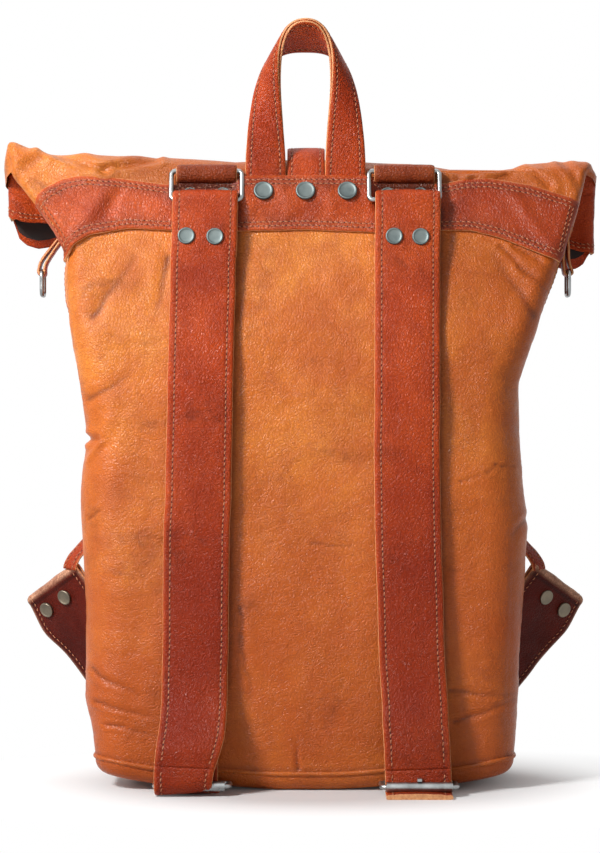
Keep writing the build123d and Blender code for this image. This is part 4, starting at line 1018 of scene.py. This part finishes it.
# (y, z) of the straps' middle down the back, to the buckle and past it
DOWN = [(-49.3, 412.7), (-52.7, 388.7), (-58.8, 350.7), (-68.0, 292.7), (-70.6, 217), (-71.5, 130), (-73, 78)]
CENTRE = {"left": DOWN + [(-81.0, 52), (-87.3, 32), (-87.3, 21.6)],
          "right": DOWN + [(-77.4, 52), (-80.7, 32), (-80.7, 21.6)]}
TAIL = {"left": [(-87.3, 21.6), (-87.3, 9.0), (-85.6, 4.2), (-82.0, 1.75), (-69.0, 1.7)],
        "right": [(-80.7, 21.6), (-80.9, 9.0), (-82.6, 4.2), (-86.0, 1.75), (-98.0, 1.7)]}
for side_name, sign in SIDES:
    down = smooth_chain(CENTRE[side_name], 10)
    r_c = 5.2
    over = [(LOW_Y + r_c * math.cos(a), LOW_Z + r_c * math.sin(a)) for a in np.radians(np.linspace(0, 175, 15))]
    back_ply = [(y + 3.5 + 4.7 * (1 - min((LOW_Z - z) / 14.0, 1.0)), z) for y, z in down if LOW_Z - 42 < z < LOW_Z - 1]
    tail_pts = smooth_chain(TAIL[side_name], 6)
    chain = np.array(back_ply[::-1] + over + list(down[1:]) + list(tail_pts[1:]))
    cut_at = len(back_ply) + len(over) + len(down) - 1
    d = np.r_[0, np.cumsum(np.linalg.norm(np.diff(chain, axis=0), axis=1))]
    n = int(d[-1] / (1.8))
    s = np.linspace(0, d[-1], n)
    yz = np.stack([np.interp(s, d, chain[:, k]) for k in (0, 1)], -1)
    kern = np.array([1, 2, 3, 2, 1]) / 9.0
    for k in (0, 1):
        yz[:, k] = np.convolve(np.pad(yz[:, k], 2, mode="edge"), kern, mode="valid")
    px = np.interp(yz[:, 1], *STRAP_X[side_name])
    px = np.convolve(np.pad(px, 15, mode="edge"), np.ones(31) / 31, mode="valid")
    C = np.stack([px, yz[:, 0], yz[:, 1]], -1)
    T = unit(np.gradient(C, axis=0))
    A = np.tile([1.0, 0, 0], (n, 1))
    if sign < 0:
        # the left end is twisted and curled
        twist = bump_fn(-yz[:, 1], -70, -6) * bump_fn(-yz[:, 0], 68, 80)
        A[:, 2] = 0.10 * twist
        C += np.stack([-3.0 * twist, 0 * twist, 2.0 * twist], -1)
        T = unit(np.gradient(C, axis=0))
    A = unit(A - T * (A * T).sum(1, keepdims=True))
    N = np.cross(A, T)
    N *= np.sign(N[n // 2, 1]) * -1
    curl = bump_fn(-yz[:, 1], -44, -2) * bump_fn(-yz[:, 0], 60, 78) * (sign < 0)
    C[:, 0] -= 3.5 * curl
    data = strip(C, A, N, STRAP_W + 0.2 * np.sin(s / 37.0) - 6.0 * curl, STRAP_T, crown=0.7, groove=(STRAP_SEAM,),
                 wob=0.5, seed=60 + sign, cols=41)
    cut = int(np.searchsorted(s, d[min(cut_at, len(d) - 1)]))
    top_ob = strip_mesh(side_name + "_shoulder_leather", data, side_name + "_shoulder_strap", rows=slice(0, cut + 1))
    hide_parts(side_name + "_strap")
    low_ob = strip_mesh(side_name + "_strap_end", data, "bag", rows=slice(cut, n))
    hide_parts(side_name + "_strap_tail")
    both = seams(data, STRAP_SEAM, N)
    stitch_mesh(side_name + "_strap_stitches", [(p[:cut], up[:cut]) for p, up in both], side_name + "_shoulder_strap")
    stitch_mesh(side_name + "_end_stitches", [(p[cut + 1:], up[cut + 1:]) for p, up in both], "bag")
    k = [i for i in range(n // 12, n) if yz[i, 1] < 386.0 and N[i, 1] < -0.5][0]
    caps = [(C[k] + A[k] * dx + N[k] * (STRAP_T / 2 + 0.55), N[k], 6.0)
            for dx in ((-12.5, 7.5) if sign < 0 else (-9.5, 9.0))]
    ob = rivet_mesh(side_name + "_strap_caps", caps, side_name + "_shoulder_strap")
    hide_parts(side_name + "_strap_rivets")

# ---------------------------------------------------------------- chapes that hold the strap rings
BAR_Y, BAR_Z = -38.1, 433.5
DB = (-math.sin(BACK_LEAN), -math.cos(BACK_LEAN))
for side_name, sign in SIDES:
    pts = [(-2.6, 7.4), (-0.6, 6.9), (1.5, 5.4), (3.1, 3.0)]
    pts += [(3.4 * math.cos(a), -3.4 * math.sin(a)) for a in np.radians(np.linspace(0, 180, 12))]
    pts += [(-3.2, 4.0), (-3.0, 12.0)]
    yz = np.array([(BAR_Y + n * NB[0] + t * DB[0], BAR_Z + n * NB[1] + t * DB[1]) for n, t in pts])
    C, A, N = ribbon(yz, sign * RING_X, 1.0, axis=1, row=2, facing=-1)
    data = strip(C, A, N, 42.0, 2.1, crown=0.25, wob=0.35, seed=70 + sign, cols=25)
    # underside of the roll darkened as painted shade
    under = bump_fn(-C[:, 2], -428.5, -425.0)[:, None] + 0 * data[2]
    data = (data[0], data[1], np.clip(data[2] + 0.9 * under, 0, 1), data[3], data[4])
    ob = strip_mesh(side_name + "_ring_loop", data, "bag", mats=[CHAPE, EDGE])
    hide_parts(side_name + "_chape")
caps = []
for sign in (-1, 1):
    for dx in (-11.5, 11.5):
        caps.append((wrap(sign * RING_X + dx, 416.5, YOKE_OUT), np.array([0, *NB]), 5.6))
ob = rivet_mesh("loop_caps", caps, "bag")
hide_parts("chape_rivets")

# ---------------------------------------------------------------- handle
HANDLE_Y, HANDLE_Z, RISE = -35.5, 431.1, 106.9


def handle_edges(u):
    s, c = np.maximum(np.sin(u), 0), np.cos(u)
    sg = np.where(c > 0, 1.0, -1.0)
    front = np.stack([-(14.0 + 17.0 * s ** 1.5) * np.abs(c) ** 0.8 * sg, -14.0 * s ** 2.2, RISE * s ** 0.9], -1)
    rear = np.stack([-(42.0 - s) * np.abs(c) ** 0.62 * sg, 14.0 * s ** 2.2, (RISE - 17.0) * s ** 0.9], -1)
    return front, rear


u = math.pi * (0.5 - 0.5 * np.cos(np.linspace(0.0, math.pi, 241)))
fr, re_ = handle_edges(u)
stub = np.array([0, 0.6, -4.0])
fr = np.vstack([fr[:1] + stub, fr, fr[-1:] + stub])
re_ = np.vstack([re_[:1] + stub, re_, re_[-1:] + stub])
off3 = np.array([0, HANDLE_Y, HANDLE_Z])
sq, _ = resample(np.concatenate([fr, re_], 1), count=200)
fr, re_ = sq[:, :3], sq[:, 3:]
for arr in (fr, re_):
    for k in range(3):
        padded = np.pad(arr[:, k], 3, mode="reflect", reflect_type="odd")
        arr[:, k] = np.convolve(padded, np.ones(7) / 7, mode="valid")
C = (fr + re_) / 2 + off3
W = np.linalg.norm(re_ - fr, axis=1)
A = unit(re_ - fr)
T = unit(np.gradient(C, axis=0))
T = unit(T - A * (T * A).sum(1, keepdims=True))
N = np.cross(A, T)
N *= np.sign(N[100, 2])
lines = []
for lift_n, flip, nm in ((1.22, 1, "handle_outer_ply"), (-1.22, -1, "handle_inner_ply")):
    data = strip(C + N * lift_n, A, N * flip, W, 2.3, crown=0.5 if flip > 0 else 0.2, wob=0.3, seed=80 + flip,
                 cols=27, groove=(3.6,))
    ob = strip_mesh(nm, data, "handle")
    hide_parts("handle_outer" if flip > 0 else "handle_inner")
    lines += seams(data, 3.6, N * flip)
stitch_mesh("handle_stitches", lines, "handle")

# ---------------------------------------------------------------- closure strap over the crest
CLOSURE_W, CLOSURE_R = 26.0, 21.2
pts = [(back_plane(z) + 3.0 * NB[0], z + 3.0 * NB[1]) for z in (427.0, 431.0)]
for k, a in enumerate(np.radians(np.linspace(160, 23, 22))):
    r = CLOSURE_R - CREST_TAPER * bump_fn(k / 21.0, 0.1, 0.75)
    pts.append((FOLD_Y + r * math.cos(a), FOLD_Z + r * math.sin(a) - 2.2 * math.sin(a)))
pts.append(flap_pt(16.4, 4.0))
C, A, N = ribbon(pts, 0.6, 1.1, axis=2, steps=4)
data = strip(C, A, N, CLOSURE_W, 2.2, crown=0.35, wob=0.25, seed=90, cols=25, groove=(3.0,))
ob = strip_mesh("closure_over", data, None)
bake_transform(ob)
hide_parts("closure_anchor", "closure_turn")
ob = stitch_mesh("closure_over_stitches", seams(data, 3.0, N), None)
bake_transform(ob)

run = [(15.4, 1.2), (15.4, 20), (15.6, 40), (15.2, 60), (12.6, 66), (7.0, 76), (5.0, 82), (4.9, 90), (4.9, 104)]
C, A, N = ribbon([flap_pt(n, t) for n, t in run], 0.0, 1.6, axis=1, row=10, steps=6)
dist_end = np.linspace(len(C) * 1.6, 0, len(C))
W = CLOSURE_W * np.sqrt(np.clip(1 - (1 - np.clip(dist_end / 11.0, 0, 1)) ** 2, 0.12, 1))
data = strip(C, A, N, W, 2.2, crown=0.35, wob=0.3, seed=92, cols=25, groove=(3.0,))
ob = strip_mesh("closure_tab", data, "closure")
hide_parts("closure_strap")
stitch_mesh("closure_stitches", seams(data, 3.0, N, slice(None, -9)), "closure")
y, z = flap_pt(6.1, 92.0)
ob = rivet_mesh("snap_cap_dome", [((0, y, z), (0, NF[0], NF[1]), 6.2)], "closure")
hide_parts("snap_cap")
C, A, N = ribbon([flap_pt(1.2, t) for t in (76, 85, 95, 104)], 0.0, 1.5, axis=1, row=3, steps=1)
data = strip(C, A, N, 34.0, 2.4, crown=0.2, wob=0.2, seed=94, cols=21, groove=(3.0,))
ob = strip_mesh("snap_patch_leather", data, "bag")
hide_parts("snap_patch")

# ---------------------------------------------------------------- wings, side straps and tabs
caps = []
for side_name, sign in SIDES:
    # along the wing from its root, across it, and out of its face
    uu = np.array([sign * 0.570, 0.0, 0.822])
    vv_ = np.array([sign * 0.648, 0.606, -0.463])
    nn = np.cross(uu, vv_) * (-sign)
    corner = np.array([sign * 173.6, -5.0, 146.4])
    prof = [(96.0, 1.2), (60.0, 1.2), (30.0, 1.2), (6.0, 1.2)]
    prof += [(1.4, 0.6), (-0.6, 1.1), (-1.5, 2.6), (-0.6, 4.1), (1.6, 4.5), (8.0, 4.0), (16.0, 3.7), (26.0, 3.7)]
    q, _ = resample(smooth_chain(prof, 8), 1.2)
    belly = 5.0 * np.exp(-((q[:, 0] - 24) / 17) ** 2)
    C = np.array([corner - uu * a + vv_ * (15.5 + w / 2) - nn * b for (a, b), w in zip(q, belly)])
    C = C - nn * (3.0 * bump_fn(q[:, 0], 20, 80))[:, None]
    T = unit(np.gradient(C, axis=0))
    A = np.tile(vv_, (len(q), 1))
    N = np.cross(A, T)
    N *= np.sign((N[5] * nn).sum())
    data = strip(C, A, N, 59.0 + belly, 2.3, crown=0.3, wob=1.0, seed=100 + sign, cols=41, groove=(5.4,), soft=30.0)
    # the rolled top in the light raw colour as a painted highlight, and just below it a darker strip of painted shade
    roll_highlight = bump_fn(-q[:, 0], -1.7, -0.8)[:, None] + 0 * data[3]
    gap = np.exp(-((q[:, 0] - 4.4) / 1.2) ** 2)[:, None] + 0 * data[3]
    data = (data[0], data[1], np.clip(data[2] + 0.9 * gap, 0, 1), np.clip(data[3] + 0.9 * roll_highlight, 0, 1), data[4])
    ob = strip_mesh(side_name + "_wing_leather", data, "bag", mats=[SHADED_BROWN, EDGE])
    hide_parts(side_name + "_wing")
    stitch_mesh(side_name + "_wing_stitches", seams(data, 5.4, N), "bag")
    caps += [(corner - uu * 13.0 + vv_ * across + nn * 0.35, nn, 5.6) for across in (11.5, 33.5)]
ob = rivet_mesh("wing_caps", caps, "bag", DULL)
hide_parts("wing_rivets")

for side_name, sign, col in (("left", -1, MID_L), ("right", 1, MID_R)):
    line = skin[col]
    keep = line[(line[:, 2] > 150) & (line[:, 2] < 398)]
    reach = bump_fn(-keep[:, 2], -186, -152)
    keep = keep + np.stack([sign * (1.5 + 19.0 * reach), -9.0 * reach, 0 * reach], -1)
    q, t = resample(keep, 2.0)
    turn = bump_fn(-q[:, 2], -225, -170)
    A = np.stack([sign * 0.75 * turn, 1 - 0.35 * turn, 0 * turn], -1)
    T = unit(t)
    A = unit(A - T * (A * T).sum(1, keepdims=True))
    N = np.cross(A, T)
    N *= sign * np.sign(N[len(N) // 2:len(N) // 2 + 1, :1])
    data = strip(q, A, N, 12.5, 2.2, crown=0.3, wob=0.2, seed=110 + sign, cols=15, groove=(2.4,))
    ob = strip_mesh(side_name + "_gusset_strap", data, "bag")
    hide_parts(side_name + "_side_strap")
    stitch_mesh(side_name + "_gusset_stitches", seams(data, 2.4, N), "bag")
    # small tab from the gusset strap round the side ring's bar
    bx, by, bz = sign * 187.1, -19.1, 364.0
    sx = sign * (at(LEFT if sign < 0 else RIGHT, 388.0) - 9.0)
    top, mid, low = np.array([sx, 397.0]), np.array([sx + sign * 8.0, 388.5]), np.array([bx - sign * 1.6, bz + 7.5])
    run_d = unit(low - mid)
    side_n = np.array([-run_d[1], run_d[0]]) * -sign
    if side_n[1] < 0:
        side_n = -side_n
    pts = [top + side_n * 1.2, mid + side_n * 1.2, low + side_n * 1.9]
    pts += [np.array([bx, bz]) + 2.8 * (side_n * math.cos(a) + run_d * math.sin(a))
            for a in np.radians(np.linspace(15, 165, 8))]
    pts += [low - side_n * 1.9, mid - side_n * 1.2, top - side_n * 1.2]
    p2, t2 = resample(smooth_chain(pts, 4), 0.9)
    C = np.stack([p2[:, 0], np.full(len(p2), by), p2[:, 1]], -1)
    T = np.stack([t2[:, 0], np.zeros(len(p2)), t2[:, 1]], -1)
    A = np.tile([0.0, 1.0, 0.0], (len(p2), 1))
    N = np.cross(A, T)
    data = strip(C, A, N, 12.0, 2.2, crown=0.15, wob=0.1, seed=120 + sign, cols=13, groove=(2.2,))
    ob = strip_mesh(side_name + "_ring_tab", data, "bag")
    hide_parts(side_name + "_side_tab")

# ---------------------------------------------------------------- base chapes of the buckles
for side_name, sign in SIDES:
    pts = [(-62.6, 44.0), (-63.4, 30.0), (-64.6, 20.0), (-66.6, 13.0), (-68.4, 9.4)]
    pts += [(-65.5 + 3.0 * math.cos(a), 6.6 + 3.0 * math.sin(a)) for a in np.radians(np.linspace(165, 395, 12))]
    pts += [(-62.4, 12.0), (-61.6, 20.0)]
    C, A, N = ribbon(pts, sign * BUCKLE_X, 1.0, axis=1, row=2, facing=-1)
    data = strip(C, A, N, 34.0, 2.0, crown=0.25, wob=0.2, seed=130 + sign, cols=21, groove=(3.0,))
    ob = strip_mesh(side_name + "_buckle_loop", data, "bag")
    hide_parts(side_name + "_base_chape")
caps = [((s * BUCKLE_X + dx, -64.6, 31.0), (0, -1, 0.05), 5.0) for s in (-1, 1) for dx in (-9, 9)]
ob = rivet_mesh("base_caps", caps, "bag")
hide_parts("base_rivets")


# ---------------------------------------------------------------- floor, light and camera
def seen_rays(nt):
    """1 for camera, glossy and transmission rays."""
    path = add_node(nt, "LightPath").outputs
    seen = calc(nt, "MAXIMUM", path["Is Camera Ray"], path["Is Glossy Ray"])
    return calc(nt, "MAXIMUM", seen, path["Is Transmission Ray"])


def glow(nt, strength):
    return add_node(nt, "Emission", (("Color", (1, 1, 1, 1)), ("Strength", strength))).outputs[0]


def white_to_camera(nt, shader, amount):
    """Mixes a shader with plain white for the rays that see the background."""
    fac = calc(nt, "MULTIPLY", seen_rays(nt), amount)
    return add_node(nt, "MixShader", ((0, fac), (1, shader), (2, glow(nt, 1.0)))).outputs[0]


def distance_from(nt, coord, scale, shift=(0.0, 0.0, 0.0)):
    """Distance from a point of the floor, measured longer front to back."""
    moved = add_node(nt, "Mapping", (("Vector", coord), ("Location", shift), ("Scale", scale)))
    return add_node(nt, "VectorMath", ((0, moved.outputs["Vector"]),), operation="LENGTH").outputs["Value"]


me = bpy.data.meshes.new("floor")
me.from_pydata([(-6, -6, 0), (6, -6, 0), (6, 6, 0), (-6, 6, 0)], [], [(0, 1, 2, 3)])
ground = bpy.data.objects.new("floor", me)
bpy.context.scene.collection.objects.link(ground)
fmat, nt, sh = new_mat("floor")
sh.inputs["Base Color"].default_value = (0.70, 0.70, 0.70, 1)
sh.inputs["Roughness"].default_value = 0.8
sh.inputs["Specular IOR Level"].default_value = 0.1
co = nt.nodes.new("ShaderNodeTexCoord").outputs["Object"]
# the floor's lit colour plus a glow seen only by camera and glossy rays, which grows away from the bag so that the
# floor near it stays darker as a painted shadow, and plain white further out
far = ramp(nt, distance_from(nt, co, (1.0, 1.8, 1.0), (-0.03, 0.06, 0.0)), 0.15, 0.34)
shadow_painting_glow = glow(nt, ramp(nt, distance_from(nt, co, (1.0, 1.2, 1.0)), 0.12, 0.22, 0.02, 0.50))
none = add_node(nt, "BsdfTransparent", (("Color", (0, 0, 0, 1)),))
seen = add_node(nt, "MixShader", ((0, seen_rays(nt)), (1, none.outputs[0]), (2, shadow_painting_glow)))
lifted = add_node(nt, "AddShader", ((0, sh.outputs[0]), (1, seen.outputs[0])))
put(nt, white_to_camera(nt, lifted.outputs[0], far), nt.nodes["Material Output"].inputs[0])
me.materials.append(fmat)
world = bpy.data.worlds.new("studio")
bpy.context.scene.world = world
world.use_nodes = True
nt = world.node_tree
nt.nodes["Background"].inputs["Color"].default_value = (1, 1, 1, 1)
nt.nodes["Background"].inputs["Strength"].default_value = 0.14
put(nt, white_to_camera(nt, nt.nodes["Background"].outputs[0], 1.0), nt.nodes["World Output"].inputs[0])


def area(name, place, aim, size, power):
    data = bpy.data.lights.new(name, "AREA")
    data.shape = "RECTANGLE"
    data.size, data.size_y = size
    data.energy = power
    ob = bpy.data.objects.new(name, data)
    ob.location = place
    direction = Vector(aim) - Vector(place)
    ob.rotation_euler = direction.to_track_quat("-Z", "Y").to_euler()
    bpy.context.scene.collection.objects.link(ob)


area("key", (-0.95, -0.88, 1.10), (0, 0, 0.25), (0.3, 0.3), 27)
area("fill", (1.0, -1.9, 0.7), (0, 0, 0.25), (1.2, 1.2), 1.2)
area("top", (0.0, 0.4, 1.6), (0, 0, 0.3), (1.2, 0.6), 7)
area("sheen", (-1.0, -1.45, 1.15), (-0.05, 0, 0.28), (0.35, 0.5), 38)
bpy.data.objects["sheen"].visible_diffuse = False

cam_data = bpy.data.cameras.new("camera")
cam_data.lens = 96.0
cam_data.sensor_width = 36.0
cam_data.clip_end = 30.0
cam = bpy.data.objects.new("camera", cam_data)
cam.location = (-0.0038, -1.641, 0.2535)
cam.rotation_euler = (math.pi / 2, 0, 0)
bpy.context.scene.collection.objects.link(cam)
bpy.context.scene.camera = cam
bpy.context.scene.view_settings.view_transform = "Standard"
